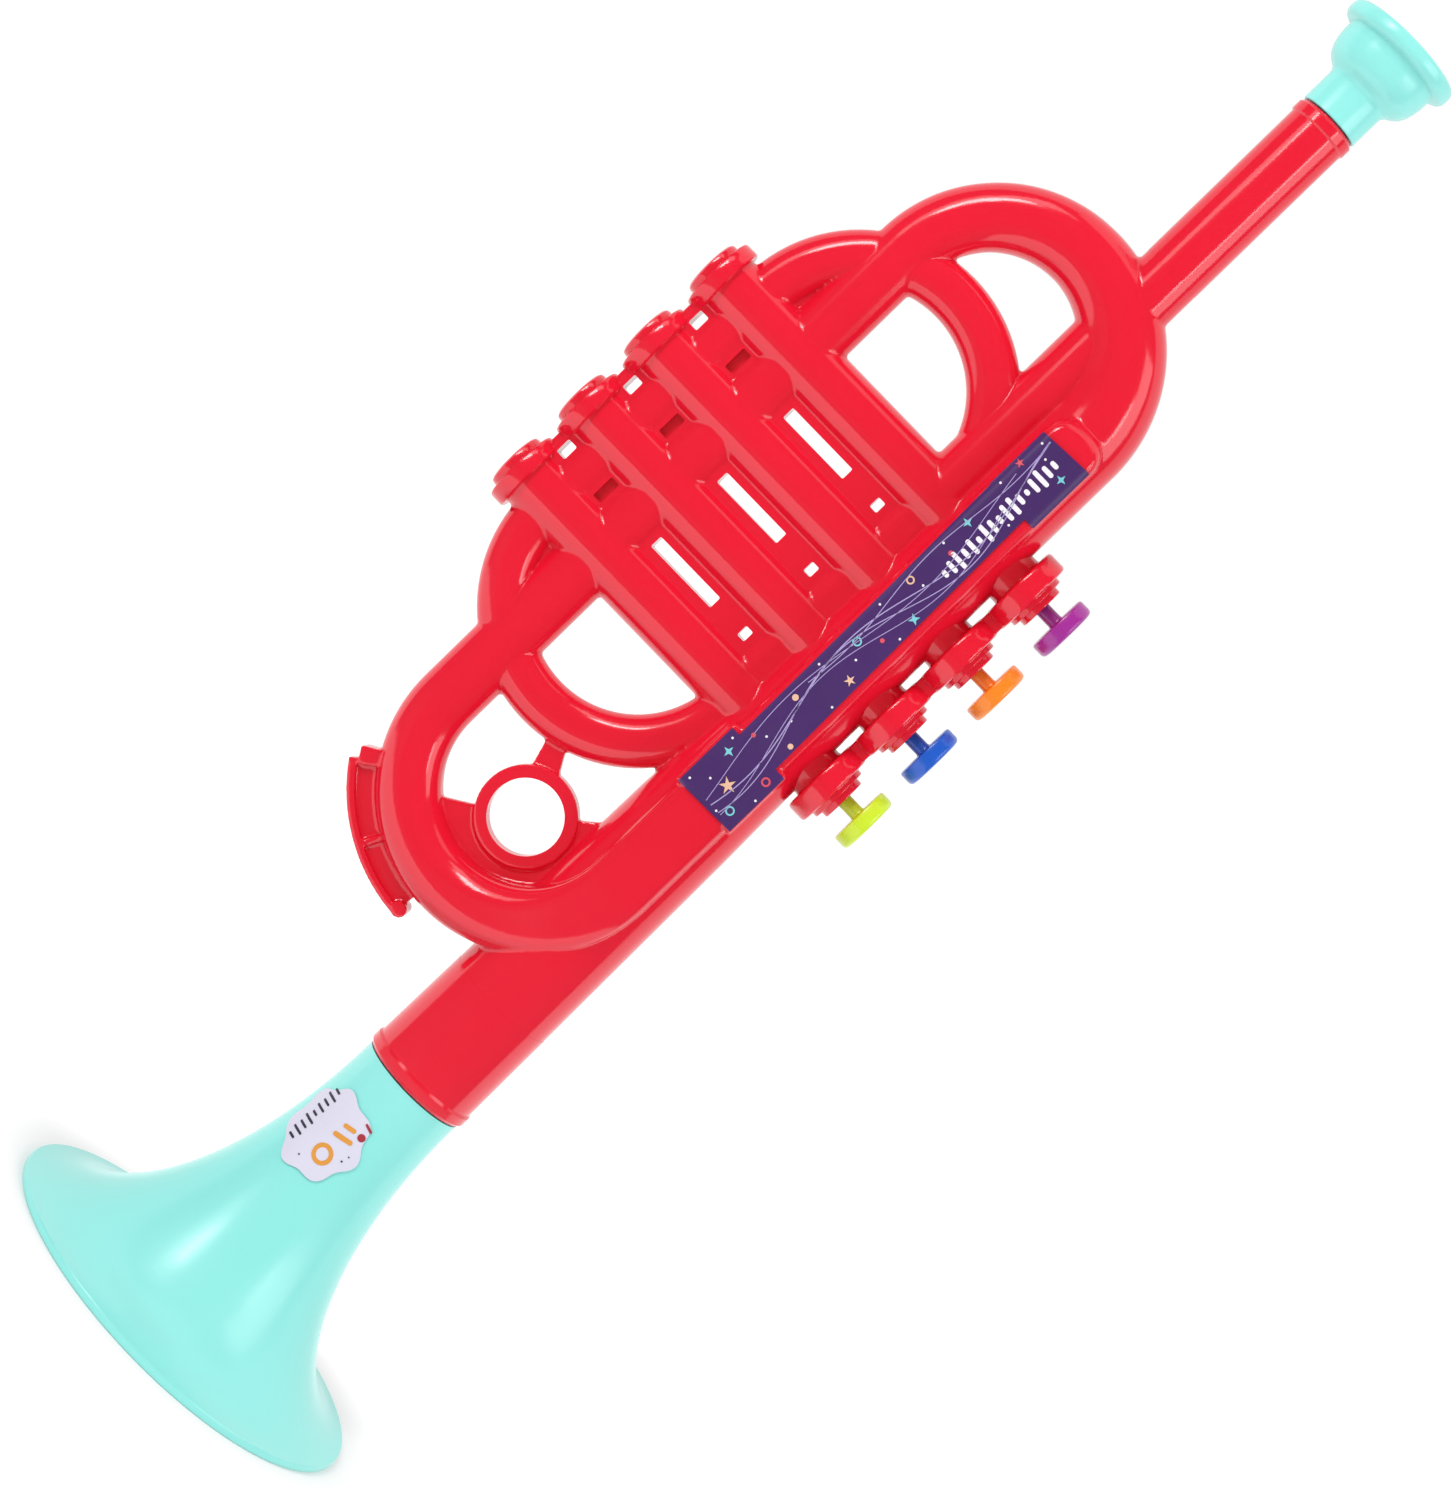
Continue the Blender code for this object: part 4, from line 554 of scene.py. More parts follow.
def housingOutside():
    leadX, leadRadius = housing["leadX"], housing["leadRadius"]
    forms = [sweepTube(wideStations(), 80), sweepTube(loopStations(), 64),
             sweepTube(ringStations(), 56, True),
             rod(leadRadius, topRow + 1.2, housing["leadMouth"], "Z", (leadX, 0), 72)]
    forms += raisedBar()
    forms.append(rod(housing["betweenRowsRadius"], lowRow, topRow, "Z", (housing["betweenRowsX"], 0), 48))
    forms += [block((left, -deep, lowRow - margin), (right, deep, topRow + margin))
              for left, right, deep, margin in housing["webPlates"]]
    forms += crescents() + fingerRing() + waterKey()
    forms += [turned("casing", z) for z in rowHeights]
    whole = boolean(newObject("housing", forms[0]), forms[1:], "UNION")
    soft = whole.modifiers.new("fillets", "REMESH")  # small moulded fillets wherever tubes meet
    soft.mode = "VOXEL"
    soft.voxel_size = housing["voxel"] * 1
    smooth = whole.modifiers.new("polish", "SMOOTH")
    smooth.factor = 0.5
    smooth.iterations = housing["smoothSteps"]
    thin = whole.modifiers.new("thin", "DECIMATE")
    thin.ratio = housing["keptShare"]
    bakeModifiers(whole)
    # clean turned forms over the softened ones: collars, caps, both pipes' ends and their beads
    crisp = [turned(name, z) for z in rowHeights for name in ("collar", "cap")]
    crisp.append(rod(leadRadius + 0.03, 302.0, 343.3, "Z", (leadX, 0), 96))
    crisp.append(lathe([(0, 74.5), (12.89, 74.5), (12.62, 97.0), (0, 97.0)], 128))
    crisp.append(lathe([(0, 71.8), (12.9, 71.8), (13.3, 72.3), (13.3, 74.2), (12.9, 74.8), (0, 74.8)], 96))
    crisp.append(lathe([(0, 343.1), (6.9, 343.1), (7.3, 343.6), (7.3, 345.6), (6.9, 346.1), (0, 346.1)], 96,
                       "Z", (leadX, 0, 0)))
    boolean(whole, crisp, "UNION")
    cuts, through = [], 20
    for z in rowHeights[:-1]:
        middle = z + rowPitch / 2
        for left, right, height in housing["webCuts"]:
            cuts.append(window(left, right, middle, height, -through, through))
        left, right, height = housing["webDent"]
        for near, far in ((housing["dentFloor"], through), (-through, -housing["dentFloor"])):
            cuts.append(window(left, right, middle, height, near, far))
    cuts.append(rod(fingerHold["bore"], -through, through, "Y", fingerHold["centre"], 96))
    return boolean(whole, cuts)


def window(left, right, middle, height, near, far):
    # a cut through the web with slightly rounded corners
    bm = block((left, near, middle - height / 2), (right, far, middle + height / 2))
    roundOff(bm, [e for e in bm.edges if abs(e.verts[0].co.y - e.verts[1].co.y) > 1], 0.35, 3)
    return outward(bm)


screwPlaces = [(-26.35, 291.85), (-53.0, 251.95), (-37.05, 234.8), (-37.05, 177.5), (-53.0, 153.55),
               (-26.35, 105.95)]


def housingInside():
    # the hollow, with bulkheads, rails, ribs, screw bosses and catches left standing
    wall, leadX, leadRadius, deep = housing["wall"], housing["leadX"], housing["leadRadius"], 28
    rooms = [sweepTube(wideStations(wall, 2), 64), sweepTube(loopStations(wall), 48),
             sweepTube(ringStations(wall), 40, True)] + raisedBar(wall)
    for z in rowHeights:
        # a row's hollow, and the narrower one of its collar
        rooms.append(rod(5.35, -75.6, 1.5, "X", (0, z)))
        rooms.append(rod(4.4, -0.9, 17.2, "X", (0, z)))
    hollow = boolean(newObject("hollow", rooms[0]), rooms[1:], "UNION")
    stays = [rod(leadRadius, 244.5, housing["leadMouth"], "Z", (leadX, 0))]
    for left, right, low, high in ((-19.5, -18.3, 146.5, 266.7), (leadX, 28, 244.8, 246.0),
                                   (-18.3, -4.5, 158.2, 159.4), (-5.7, -4.5, 158.8, 168.4)):
        stays.append(block((left, -deep, low), (right, deep, high)))
    rails = [(-5.4, -4.5, 166.6, 245.4, 6.6), (3.4, 4.6, 166.6, 245.4, 6.6)]
    middles = [lowRow + step * rowPitch for step in (-0.5, 1.5, 3.5)]
    ribs = [(-5.1, 4.0, z - 0.6, z + 0.6, 8.5) for z in middles] + [(-5.1, 4.0, 166.3, 167.5, 6.9)]
    for side in (1, -1):
        for left, right, low, high, clear in rails + ribs:
            near, far = sorted((side * clear, side * deep))
            stays.append(block((left, near, low), (right, far, high)))
    stays += [rod(3.8, -deep, deep, "Y", place) for place in screwPlaces]
    stays.append(lathe([(9.75, 78.0), (12.9, 78.0), (12.9, 79.6), (9.75, 79.6)], 96, closed=True))
    boolean(hollow, stays)
    bore = newObject("leadBore", rod(leadRadius - wall, 233.6, 348.4, "Z", (leadX, 0), 64))
    catch = lathe([(4.0, 338.6), (6.9, 338.6), (6.9, 340.2), (4.0, 340.2)], 64, "Z", (leadX, 0, 0), True)
    return boolean(hollow, [boolean(bore, [catch])], "UNION")


def buildHousing():
    whole = housingOutside()
    print("housing outside", len(whole.data.polygons), "faces")
    boolean(whole, [housingInside()])
    boolean(whole, [rod(housing["stemHole"], 1.5, 22, "X", (0, z), 48) for z in rowHeights])
    print("housing hollowed", len(whole.data.polygons), "faces")
    gap = housing["seamGap"] / 2
    for name, side, node in (("frontHousing", -1, "front_shell"), ("rearHousing", 1, "rear_shell")):
        half = linked(name, whole.data.copy())
        near, far = sorted((side * gap, -side * 400))
        cuts = [block((-200, near, -100), (200, far, 500))]  # all that is past the parting
        for x, z in screwPlaces:
            # in front a blind hole for the tip, behind a hole for the shank and a well for the head
            if side < 0:
                cuts.append(rod(1.4, -4.3, 2, "Y", (x, z), 32))
            else:
                cuts.append(lathe([(0, -2), (1.4, -2), (1.4, 2.2), (2.5, 2.2), (2.5, 18), (0, 18)], 48, "Y",
                                  (x, 0, z)))
        boolean(half, cuts)
        settle(half, "trumpet_body", finishes["red"], "red_shell", (node,), 32)
        print(name, len(half.data.polygons), "faces")
    bpy.data.objects.remove(whole, do_unlink=True)


buildHousing()

bell = {
    "rimRadius": 45.5,
    "rimZ": 2.2,
    "throatRadius": 12.6,
    "throatZ": 71.2,
    "throatHandle": 38.3,  # the flare is one curve between two handles
    "rimHandle": 19.1,
    "rimTilt": 0.06,
    "lipHeight": 1.8,
    "wall": 1.7,
    "segments": 144,
}


def bellLine(offset, count=48):
    rim, lip = bell["rimZ"], bell["lipHeight"]
    start = Vector((bell["throatRadius"], 0, bell["throatZ"]))
    end = Vector((bell["rimRadius"] - 0.2, 0, rim + lip))
    tilt = bell["rimTilt"]
    towardsRim = Vector((math.cos(tilt), 0, -math.sin(tilt)))
    line = interpolate_bezier(start, start - Vector((0, 0, bell["throatHandle"])),
                              end - bell["rimHandle"] * towardsRim, end, count)
    points = []
    for i, point in enumerate(line):
        slope = (line[min(i + 1, count - 1)] - line[max(i - 1, 0)]).normalized()
        points.append((point.x + slope.z * offset, point.z - slope.x * offset))
    return points


def buildBell():
    rim = bell["rimZ"]
    inner = [p for p in reversed(bellLine(bell["wall"])) if p[1] > rim + 0.3 and 8.9 < p[0] < 43.0]
    lip = [(45.42, rim + 1.6), (45.5, rim + 1.25), (45.5, rim + 0.6), (45.4, rim + 0.25), (45.15, rim + 0.05),
           (44.9, rim), (43.5, rim), (43.3, rim + 0.05)]
    spigot = [(8.9, 84.7), (9.9, 84.7), (10.4, 84.5), (10.65, 84.0), (10.65, 79.9), (9.75, 79.9),
              (9.75, 77.7), (10.65, 77.7), (10.65, 71.6), (11.0, 71.25), (12.3, 71.2)]
    obj = newObject("bellFlare", lathe(spigot + bellLine(0) + lip + inner, bell["segments"], closed=True))
    settle(obj, "trumpet_body", finishes["teal"], "teal_moulding", ("bell",), 34)


buildBell()
print("bell made")

mouthpiece = {
    "base": 346.7,
    "bowlRadius": 9.2,
    "bowlDepth": 9.6,
    "bowlTop": 20.9,
    "bowlAngle": 1.27,  # down to the bore
    "segments": 96,
}


def buildMouthpiece():
    base = mouthpiece["base"]
    spigot = [(2.7, -11), (3.2, -11), (4.1, -10.6), (4.7, -9.8), (4.7, -8.7), (3.9, -8.5), (3.9, -6.4),
              (4.7, -6.2), (4.7, 0.02), (6.9, 0)]
    cup = [(7.1, 0.2), (7.1, 7.4), (7.25, 8.1), (7.8, 8.8), (9.0, 9.6), (10.0, 10.5), (10.8, 12.0),
           (11.25, 13.7), (11.5, 15.8), (11.5, 17.5), (11.75, 17.9)]
    rim = [(12.7, 18.1), (13.5, 18.5), (13.9, 19.1), (14.0, 19.8), (14.0, 20.6), (13.85, 21.3), (13.4, 21.8),
           (12.6, 21.99), (10.4, 21.99), (9.8, 21.8), (9.5, 21.3)]
    radius, deep, top = mouthpiece["bowlRadius"], mouthpiece["bowlDepth"], mouthpiece["bowlTop"]
    angles = [mouthpiece["bowlAngle"] * i / 12 for i in range(13)]
    bowl = [(radius * math.cos(a), top - deep * math.sin(a)) for a in angles]
    line = [(r, base + h) for r, h in spigot + cup + rim + bowl]
    obj = newObject("mouthCup", lathe(line, mouthpiece["segments"], "Z", (housing["leadX"], 0, 0), True))
    settle(obj, "trumpet_body", finishes["teal"], "teal_moulding", ("mouthpiece",), 40)


buildMouthpiece()
print("mouthpiece made")

buttons = {
    "colours": ["lime", "blue", "orange", "purple"],
    "discStart": 24.0,
    "discThickness": 3.6,
    "discRadius": 6.9,
    "stemRadius": 1.65,
    "segments": 72,
}


def buildButton(colour, z):
    start = buttons["discStart"]
    end = start + buttons["discThickness"]
    r, stem = buttons["discRadius"], buttons["stemRadius"]
    profile = [(0, -10.2), (0.9, -10.2), (1.2, -9.9), (1.2, -4.2), (stem, -4.2), (stem, 15.6), (3.5, 15.6),
               (3.6, 15.7), (3.6, 16.8), (3.5, 16.9), (stem, 16.9), (stem, start - 0.5),
               (stem + 0.15, start - 0.15), (stem + 0.5, start), (r - 0.5, start), (r - 0.15, start + 0.15),
               (r, start + 0.5), (r, end - 1.1), (r - 0.08, end - 0.68), (r - 0.32, end - 0.32),
               (r - 0.7, end - 0.12), (r - 1.3, end - 0.02), (r - 2.4, end), (0, end)]
    obj = newObject(colour + "Button", lathe(profile, buttons["segments"], "X", (0, 0, z)))
    settle(obj, colour + "_valve", finishes[colour], colour + "_button", ("button_" + colour,), 40)


for colour, z in zip(buttons["colours"], rowHeights):
    buildButton(colour, z)
print("buttons made")

springs = {
    "meanRadius": 2.75,
    "wireRadius": 0.25,
    "wireSides": 8,
    "turns": 5,
    "stepsPerTurn": 24,
    "fixedEnd": 4.7,
    "freeEnd": 15.3,
    "buttonTravel": 3.5,
}


def buildSpring(number, colour, z):
    # a coil of round wire about the stem, from its fixed end to its free end, at its rest length
    wire, turns = springs["wireRadius"], springs["turns"]
    fixedEnd, freeEnd = springs["fixedEnd"], springs["freeEnd"]
    steps = turns * springs["stepsPerTurn"]
    bm = bmesh.new()
    bmesh.ops.create_circle(bm, segments=springs["wireSides"], radius=wire,
                            matrix=Matrix.Translation((fixedEnd + wire, springs["meanRadius"], z)))
    rise = (freeEnd - fixedEnd - 2 * wire) / steps
    bmesh.ops.spin(bm, geom=bm.verts[:] + bm.edges[:], cent=(0, 0, z), axis=(1, 0, 0), dvec=(rise, 0, 0),
                   angle=2 * math.pi * turns, steps=steps)
    bmesh.ops.holes_fill(bm, edges=[edge for edge in bm.edges if edge.is_boundary])
    obj = newObject(colour + "Spring", outward(bm))
    settle(obj, "trumpet_body", finishes["steel"], "spring_steel", ("spring_" + str(number),), 50)
    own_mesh(obj)


for number, (colour, z) in enumerate(zip(buttons["colours"], rowHeights), 1):
    buildSpring(number, colour, z)
print("springs made")

# the other inner works keep their CAD forms
innerFinishes = {"valve_pad": "rubber", "pad_clip": "steel", "reed_rivet": "brass",
                 "reed_frame": "ivory", "reed_plate": "ivory", "reed": "brass", "shell_screw": "screw"}
for name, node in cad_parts.items():
    for start, finish in innerFinishes.items():
        if name.startswith(start):
            node.data.materials.clear()
            node.data.materials.append(finishes[finish])
            break
print("inner works finished")

labels = {
    "drawnAt": -40,  # Y of the flat shapes, in front of the trumpet
    "filmLift": 0.30,
    "filmThickness": 0.12,
    "printLift": 0.05,
    "printThickness": 0.03,
    "printStep": 0.6,
    "panelLean": 0.014,  # the panel's prints lean with its sides, about a height
    "panelLeanHeight": 185,
    "panelOutline": [(7.9, 157.2), (7.9, 172.8), (5.3, 172.8), (4.6, 210.0), (4.0, 244.7), (6.5, 244.7),
                     (6.5, 260.6), (-6.1, 259.9), (-6.1, 244.7), (-5.9, 244.7), (-5.3, 215.0), (-4.9, 172.4),
                     (-6.9, 172.4), (-6.9, 156.9)],
    "panelCorner": 0.5,
    "bellPlace": (-5.9, 53.2),
    "bellHalfSize": (9.3, 9.5),
    "bellLobes": (7, 0.6),  # count and height
}


def drawnAt(x, z, turn=0.0):
    return standing(x, z, turn, labels["drawnAt"])


def slotted(x, z, length, width, turn=0.0):
    # a small bar with round ends
    bm = bmesh.new()
    half = (length - width) / 2
    ends = bmesh.ops.create_circle(bm, cap_ends=True, segments=16, radius=width / 2)["verts"]
    for side in (1, -1):
        bmesh.ops.translate(bm, vec=(side * half, 0, 0), verts=[v for v in ends if v.co.x * side > 0.001])
    bmesh.ops.transform(bm, matrix=drawnAt(x, z, -turn), verts=bm.verts)
    return bm


def dot(x, z, radius, segments=20):
    bm = bmesh.new()
    bmesh.ops.create_circle(bm, cap_ends=True, segments=segments, radius=radius, matrix=drawnAt(x, z))
    return bm


def hoop(x, z, radius, width):
    bm = bmesh.new()
    for r in (radius, radius - width):
        bmesh.ops.create_circle(bm, cap_ends=False, segments=28, radius=r, matrix=drawnAt(x, z))
    bmesh.ops.bridge_loops(bm, edges=bm.edges[:])
    return bm


def sparkle(x, z, radius, points=4, turn=0.0):
    # a star: every other point of a circle drawn in
    bm = bmesh.new()
    ring = bmesh.ops.create_circle(bm, cap_ends=True, segments=2 * points, radius=radius)["verts"]
    bmesh.ops.scale(bm, vec=(0.36, 0.36, 1), verts=ring[1::2])
    bmesh.ops.transform(bm, matrix=drawnAt(x, z, turn), verts=bm.verts)
    return bm


def waveLine(low, high, middle, swing, turns, phase, width):
    # one long edge cut fine, swayed from side to side and widened into a ribbon
    bm = bmesh.new()
    edge = bm.edges.new([bm.verts.new((0, labels["drawnAt"], z)) for z in (low, high)])
    bmesh.ops.subdivide_edges(bm, edges=[edge], cuts=130)
    for v in bm.verts:
        share = (v.co.z - low) / (high - low)
        v.co.x = middle + swing * math.sin(2 * math.pi * turns * share + phase)
    grown = bmesh.ops.extrude_edge_only(bm, edges=bm.edges[:])["geom"]
    bmesh.ops.translate(bm, vec=(width, 0, 0), verts=onlyVerts(grown))
    return bm


def gridCut(bm, step):
    # crossing cuts, so that a flat shape can bend over what carries it
    for axis in (0, 2):
        values = [v.co[axis] for v in bm.verts]
        cut = math.floor(min(values) / step) * step + step
        while cut < max(values) - 0.001:
            point, normal = Vector((0, 0, 0)), Vector((0, 0, 0))
            point[axis], normal[axis] = cut, 1
            slicePlane(bm, point, normal)
            cut += step
    return bm


def joined(parts):
    whole = bmesh.new()
    for bm in parts:
        piece = bpy.data.meshes.new("part")
        bm.to_mesh(piece)
        bm.free()
        whole.from_mesh(piece)
        bpy.data.meshes.remove(piece)
    return whole


def wrapRoundBell(bm, lift):
    # a flat shape wrapped about the bell's axis: its width becomes a length of arc
    line = sorted((z, r) for r, z in bellLine(0))
    for v in bm.verts:
        below = max(i for i, point in enumerate(line[:-1]) if point[0] <= v.co.z)
        (lowZ, lowR), (highZ, highR) = line[below], line[below + 1]
        radius = lowR + (highR - lowR) * (v.co.z - lowZ) / (highZ - lowZ)
        turn = v.co.x / radius
        radius += lift
        v.co.x, v.co.y = radius * math.sin(turn), -radius * math.cos(turn)


def stick(name, parts, carrier, lift, thickness, material, slotName, stands=(), lean=0.0):
    # lay flat shapes on their carrier, or without one on the bell, as thick as a film or as ink
    bm = joined(parts)
    for v in bm.verts:
        v.co.x -= lean * (v.co.z - labels["panelLeanHeight"])
    gridCut(bm, labels["printStep"])
    if carrier is None:
        wrapRoundBell(bm, lift)
    obj = newObject(name, bm)
    obj.data.transform(intoModel)
    if carrier:
        wrap = obj.modifiers.new("lay", "SHRINKWRAP")
        wrap.wrap_method = "PROJECT"
        wrap.use_project_y = True
        wrap.use_positive_direction = True
        wrap.use_negative_direction = False
        wrap.target = carrier
        wrap.offset = lift * mm
    thick = obj.modifiers.new("film", "SOLIDIFY")
    thick.thickness = thickness * mm
    thick.offset = 1
    return dress(bakeModifiers(obj), "trumpet_body", material, slotName, stands)


def stickPrints(prints, carrier, lift, slotName, lean=0.0):
    for name, parts, ink in prints:
        stick(name, parts, carrier, lift, labels["printThickness"], finishes[ink], slotName, lean=lean)


def barRow(x, low, pitch, width, lengths):
    return [slotted(x, low + i * pitch, length, width) for i, length in enumerate(lengths)]


def buildPanelLabel():
    bm = bmesh.new()
    bm.faces.new([bm.verts.new((x, labels["drawnAt"], z)) for x, z in labels["panelOutline"]])
    roundOff(bm, bm.verts[:], labels["panelCorner"], 4, "VERTICES")
    film = stick("panelFilm", [bm], bpy.data.objects["frontHousing"], labels["filmLift"],
                 labels["filmThickness"], finishes["film"], "panel_sticker", ("panel_label",))
    # a wave is (low, high, middle, swing, turns, phase, width)
    waves = [waveLine(*wave) for wave in (
        (158.2, 259.4, -0.6, 2.6, 1.55, 0.6, 0.24), (158.2, 259.4, 0.4, 3.4, 1.55, 0.9, 0.20),
        (158.2, 243.0, 1.0, 2.7, 1.3, 1.5, 0.16), (158.2, 250.0, -1.6, 2.2, 1.2, 2.6, 0.16),
        (190.0, 259.4, -3.0, 1.0, 1.4, 0.2, 0.18))]
    bars = barRow(1.3, 225.5, 1.95, 1.05,
                  (1.8, 3.0, 4.4, 2.4, 3.8, 1.6, 4.4, 3.2, 2.0, 4.0, 4.4, 2.6, 1.4, 3.4, 4.4, 3.0, 2.0))
    tealShapes = [sparkle(-2.9, 236.0, 1.2), sparkle(3.4, 214.5, 1.3, 4, 0.5), hoop(-1.6, 203.0, 1.0, 0.35),
                  sparkle(-4.2, 168.5, 1.3), hoop(4.6, 160.2, 1.0, 0.35), sparkle(4.4, 255.6, 1.2)]
    peachShapes = [sparkle(3.0, 196.4, 1.3, 5), dot(-2.4, 186.0, 0.7), sparkle(0.6, 163.5, 1.9, 5, 0.3),
                   hoop(-2.8, 219.5, 0.9, 0.35), dot(4.0, 178.3, 0.6)]
    coralShapes = [sparkle(-4.0, 252.0, 1.1, 5), dot(-0.9, 229.2, 0.55), hoop(5.6, 169.6, 1.0, 0.4),
                   dot(1.9, 206.8, 0.5), dot(-3.0, 174.5, 0.5)]
    specks = [(-3.6, 258.0), (-0.8, 256.2), (-3.9, 246.4), (3.4, 241.6), (-3.4, 229.6), (-0.2, 220.6),
              (4.2, 209.6), (-3.7, 211.6), (0.9, 200.2), (4.3, 190.0), (-3.8, 194.2), (0.4, 182.0),
              (-0.9, 176.2), (-5.6, 171.0), (6.8, 165.4), (-3.0, 162.0), (-6.0, 159.0), (2.6, 158.2)]
    prints = [("panelWaves", waves, "lilacInk"), ("panelBars", bars, "whiteInk"),
              ("panelTealShapes", tealShapes, "tealInk"), ("panelPeachShapes", peachShapes, "peachInk"),
              ("panelCoralShapes", coralShapes, "coralInk"),
              ("panelSpecks", [dot(x, z, 0.27, 10) for x, z in specks], "whiteInk")]
    stickPrints(prints, film, labels["printLift"], "panel_sticker", labels["panelLean"])


def buildBellLabel():
    # places are (length of arc from the middle of the front, height)
    bm = bmesh.new()
    ring = bmesh.ops.create_circle(bm, cap_ends=True, segments=112, radius=1.0)["verts"]
    (halfWidth, halfHeight), (count, lobeHeight) = labels["bellHalfSize"], labels["bellLobes"]
    for v in ring:
        lobe = lobeHeight * math.cos(count * math.atan2(v.co.y, v.co.x))
        v.co.x *= halfWidth + lobe
        v.co.y *= halfHeight + lobe
    bmesh.ops.transform(bm, matrix=drawnAt(*labels["bellPlace"]), verts=bm.verts)
    stick("bellFilm", [bm], None, labels["filmLift"], labels["filmThickness"], finishes["paper"],
          "bell_sticker", ("bell_label",))
    orange = [hoop(-2.6, 50.2, 2.3, 0.95), slotted(-2.0, 55.4, 4.6, 1.1, 0.25),
              slotted(-2.4, 57.8, 3.0, 1.0, 0.25)]
    red = [dot(0.6, 58.2, 0.85), slotted(0.3, 60.6, 2.2, 0.6, -0.3)]
    dark = barRow(-10.6, 47.6, 1.6, 0.55, (2.0, 3.2, 2.6, 3.4, 1.8, 3.0, 2.4, 3.4, 2.0))
    dark += [dot(1.2, 52.0, 0.22, 10), dot(1.6, 53.6, 0.18, 10), dot(-6.0, 46.6, 0.2, 10)]
    prints = [("bellOrangeShapes", orange, "orangeInk"), ("bellRedShapes", red, "redInk"),
              ("bellDarkBars", dark, "darkInk")]
    lift = labels["filmLift"] + labels["filmThickness"] + labels["printLift"]
    stickPrints(prints, None, lift, "bell_sticker")


buildPanelLabel()
buildBellLabel()
print("labels made")

studio = {
    "ambient": 0.60,
    "floorSize": 30.0,  # in metres, as is the fade of the glow away from the bell's axis
    "floorFade": (0.045, 0.075),
    "floorGlow": (0.17, 0.66),  # near the bell and far from it; the weak glow near the bell is painted shade on the floor about its rim
    "floorTone": 0.80,
    "floorToneForLight": 0.95,
    "hoodLine": [(310, 4), (1250, 4), (1250, 1000), (1100, 1250), (430, 1520)],  # (away, up) in mm
    "hoodAngle": 190,
    "hoodGrey": 0.15,
    "aim": (-20, 0, 170),
    "softBoxes": [
        # name, side angle and height angle in degrees, distance, width and height in mm, brightness
        ("leftBox", -48, 35, 900, 240, 900, 2.2),
        ("leftCore", -40, 32, 870, 120, 380, 13.0),
        ("rightBox", 66, 29, 900, 420, 700, 2.3),
        ("rightCore", 49, 22, 870, 80, 300, 6.5),
    ],
}


def grey(tone):
    return (tone, tone, tone, 1)


def backgroundRays(tree):
    # 1 where the camera, a mirror-like surface or a clear one sees the background
    path = tree.nodes.new("ShaderNodeLightPath")
    seen = path.outputs["Is Camera Ray"]
    for kind in ("Is Glossy Ray", "Is Transmission Ray"):
        either = tree.nodes.new("ShaderNodeMath")
        either.operation = "MAXIMUM"
        tree.links.new(seen, either.inputs[0])
        tree.links.new(path.outputs[kind], either.inputs[1])
        seen = either.outputs[0]
    return seen


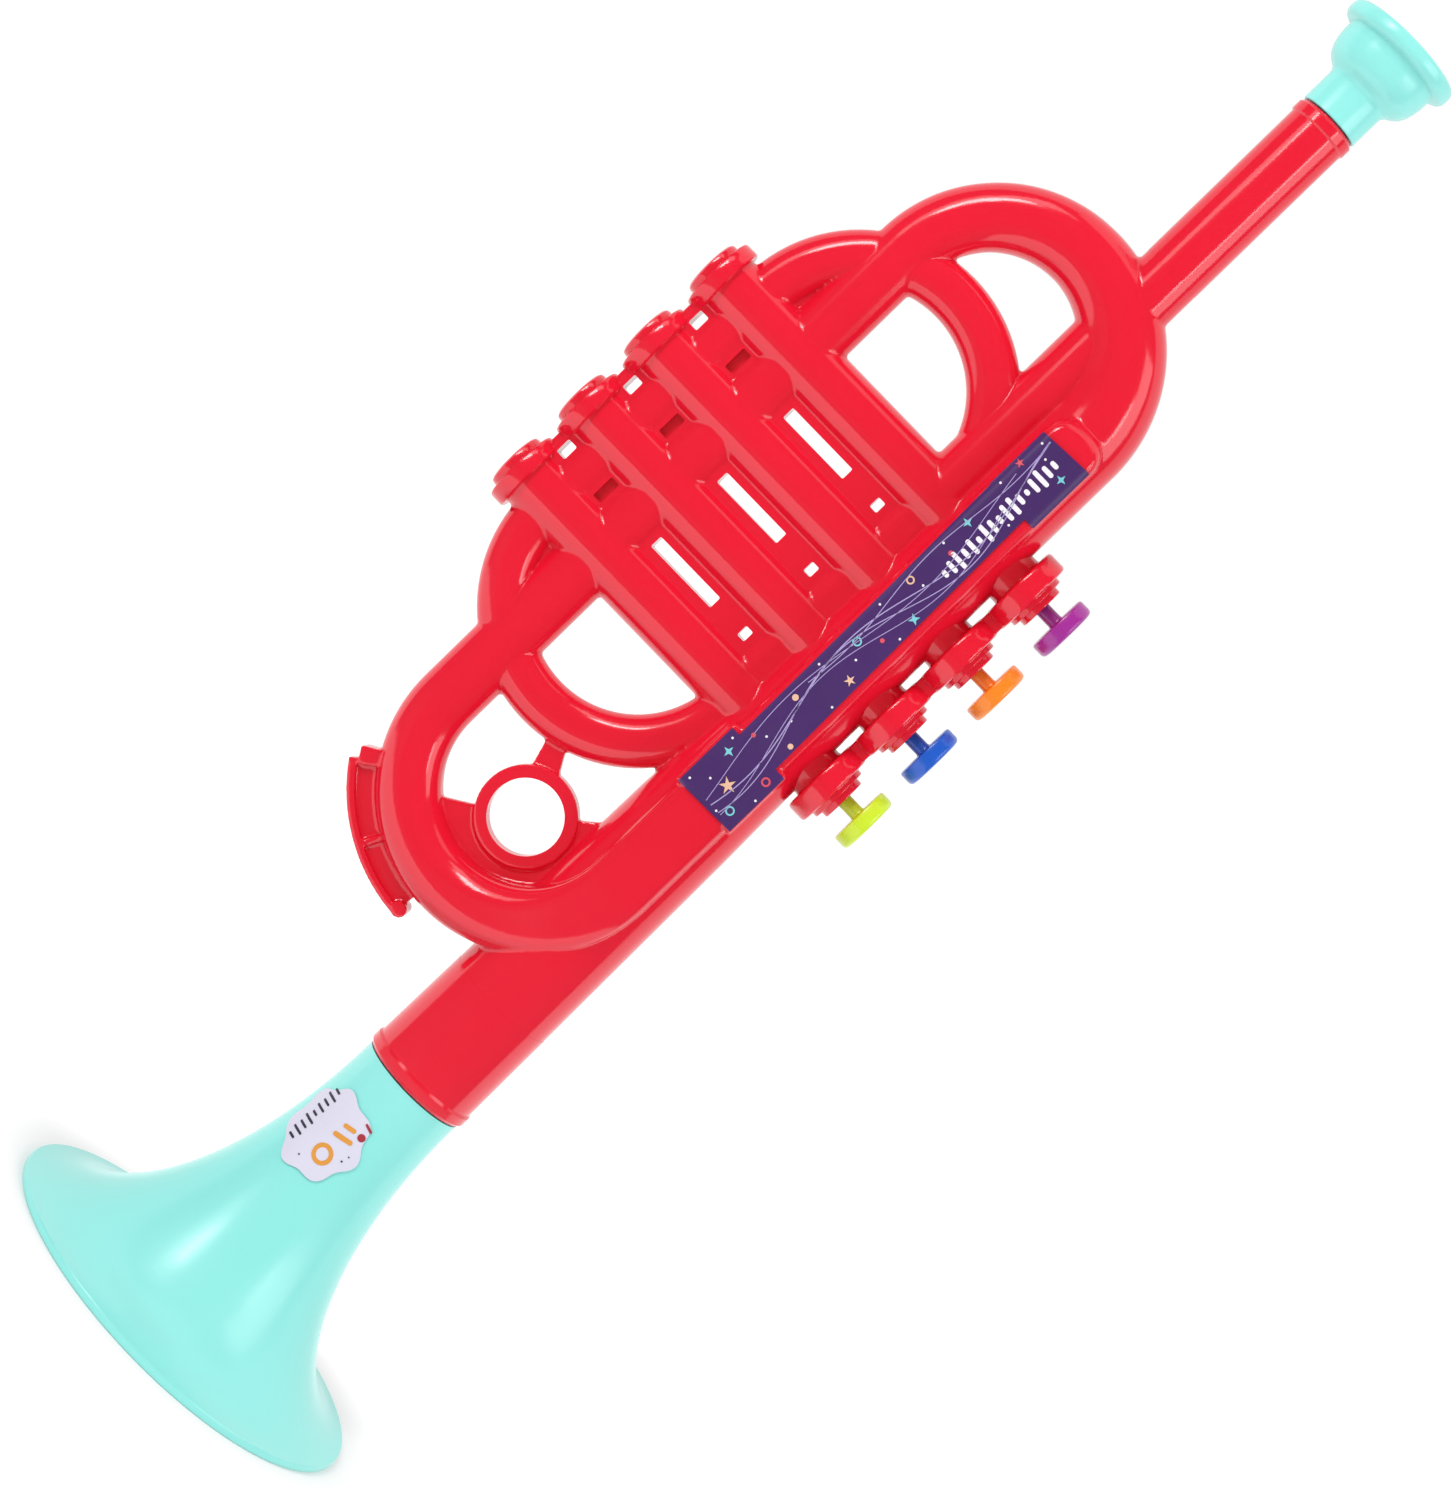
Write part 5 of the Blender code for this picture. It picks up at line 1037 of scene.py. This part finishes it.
def buildStudio():
    world = bpy.data.worlds.new("studioAir")
    bpy.context.scene.world = world
    world.use_nodes = True
    tree = world.node_tree
    back = tree.nodes["Background"]
    setInputs(back, {"Color": grey(1)})
    strength = tree.nodes.new("ShaderNodeMapRange")
    setInputs(strength, {"To Min": studio["ambient"], "To Max": 1.0})
    tree.links.new(backgroundRays(tree), strength.inputs["Value"])
    tree.links.new(strength.outputs["Result"], back.inputs["Strength"])
    floorMesh = bmesh.new()
    bmesh.ops.create_grid(floorMesh, x_segments=2, y_segments=2, size=studio["floorSize"] / 2)
    floor = newObject("studioFloor", floorMesh)
    material, tree = newMaterial("paleFloor")
    nodes, links = tree.nodes, tree.links
    nodes.remove(nodes["Principled BSDF"])
    matt = nodes.new("ShaderNodeBsdfDiffuse")
    setInputs(matt, {"Color": grey(studio["floorToneForLight"])})
    shade = nodes.new("ShaderNodeBsdfDiffuse")
    setInputs(shade, {"Color": grey(studio["floorTone"])})
    glow = nodes.new("ShaderNodeEmission")
    place = nodes.new("ShaderNodeTexCoord")
    away = nodes.new("ShaderNodeVectorMath")
    away.operation = "DISTANCE"
    away.inputs[1].default_value = intoModel @ Vector((0, 0, 0))
    links.new(place.outputs["Object"], away.inputs[0])
    # the glow fades out towards the bell: painted shade on the floor about its rim, on top of the floor's
    # real shadow
    fade = nodes.new("ShaderNodeMapRange")
    ends = studio["floorFade"] + studio["floorGlow"]
    setInputs(fade, dict(zip(("From Min", "From Max", "To Min", "To Max"), ends)))
    links.new(away.outputs["Value"], fade.inputs["Value"])
    links.new(fade.outputs["Result"], glow.inputs["Strength"])
    both = nodes.new("ShaderNodeAddShader")
    mix = nodes.new("ShaderNodeMixShader")
    links.new(backgroundRays(tree), mix.inputs[0])
    for source, target in ((shade, both.inputs[0]), (glow, both.inputs[1]), (matt, mix.inputs[1]),
                           (both, mix.inputs[2]), (mix, nodes["Material Output"].inputs["Surface"])):
        links.new(source.outputs[0], target)
    floor.data.materials.append(material)
    # the dim room around the camera, beyond the white table, which only the glossy reflections see
    hood = bmesh.new()
    line = [hood.verts.new((0, -r, z)) for r, z in studio["hoodLine"]]
    edges = [hood.edges.new(pair) for pair in zip(line, line[1:])]
    wide = math.radians(studio["hoodAngle"])
    bmesh.ops.rotate(hood, cent=(0, 0, 0), matrix=Matrix.Rotation(-wide / 2, 3, "Z"), verts=line)
    bmesh.ops.spin(hood, geom=line + edges, cent=(0, 0, 0), axis=(0, 0, 1), angle=wide, steps=48)
    bmesh.ops.transform(hood, matrix=intoModel, verts=hood.verts)
    hood = newObject("dimHood", hood)
    material, tree = newMaterial("dimHoodGrey")
    shader = tree.nodes["Principled BSDF"]
    setInputs(shader, {"Base Color": grey(studio["hoodGrey"]), "Roughness": 1.0})
    hood.data.materials.append(material)
    hood.visible_camera = hood.visible_diffuse = hood.visible_shadow = False
    aim = Vector(studio["aim"])
    for name, side, height, distance, width, tall, radiance in studio["softBoxes"]:
        lamp = bpy.data.lights.new(name, "AREA")
        lamp.shape = "RECTANGLE"
        lamp.size = width * mm
        lamp.size_y = tall * mm
        lamp.energy = radiance * math.pi * lamp.size * lamp.size_y
        obj = linked(name, lamp)
        side, height = math.radians(side), math.radians(height)
        away = Vector((math.sin(side) * math.cos(height), -math.cos(side) * math.cos(height),
                       math.sin(height)))
        turn = (-away).to_track_quat("-Z", "Y")
        obj.matrix_world = Matrix.Translation(intoModel @ (aim + distance * away)) @ turn.to_matrix().to_4x4()


photograph = {
    "eye": (6.0, -720.0, 228.0),
    "middle": (-4.57, 0, 167.3),  # what is in the middle of the frame
    "turnedShare": 0.6,  # of the way to the middle; the shift does the rest
    "roll": 45.93,
    "lens": 83.1,
    "sensorHeight": 36,
}


def buildCamera():
    eye, middle = Vector(photograph["eye"]), Vector(photograph["middle"])
    sight = middle - eye
    share = photograph["turnedShare"]
    forward = Vector((share * sight.x, sight.y, share * sight.z)).normalized()
    level = forward.cross(Vector((0, 0, 1))).normalized()
    upright = level.cross(forward)
    roll = math.radians(photograph["roll"])
    right = math.cos(roll) * level + math.sin(roll) * upright
    up = -math.sin(roll) * level + math.cos(roll) * upright
    lens = bpy.data.cameras.new("photoCamera")
    lens.sensor_fit = "VERTICAL"
    lens.sensor_height = photograph["sensorHeight"]
    lens.lens = photograph["lens"]
    frameHeight = sight.dot(forward) * lens.sensor_height / lens.lens
    lens.shift_x = sight.dot(right) / frameHeight
    lens.shift_y = sight.dot(up) / frameHeight
    lens.clip_start = 0.02
    lens.clip_end = 50
    camera = linked("photoCamera", lens)
    turn = Matrix((right, up, -forward)).transposed().to_4x4()
    camera.matrix_world = Matrix.Translation(intoModel @ eye) @ turn
    bpy.context.scene.camera = camera


buildStudio()
buildCamera()
bpy.context.scene.view_settings.view_transform = "Standard"
print("studio and camera set")
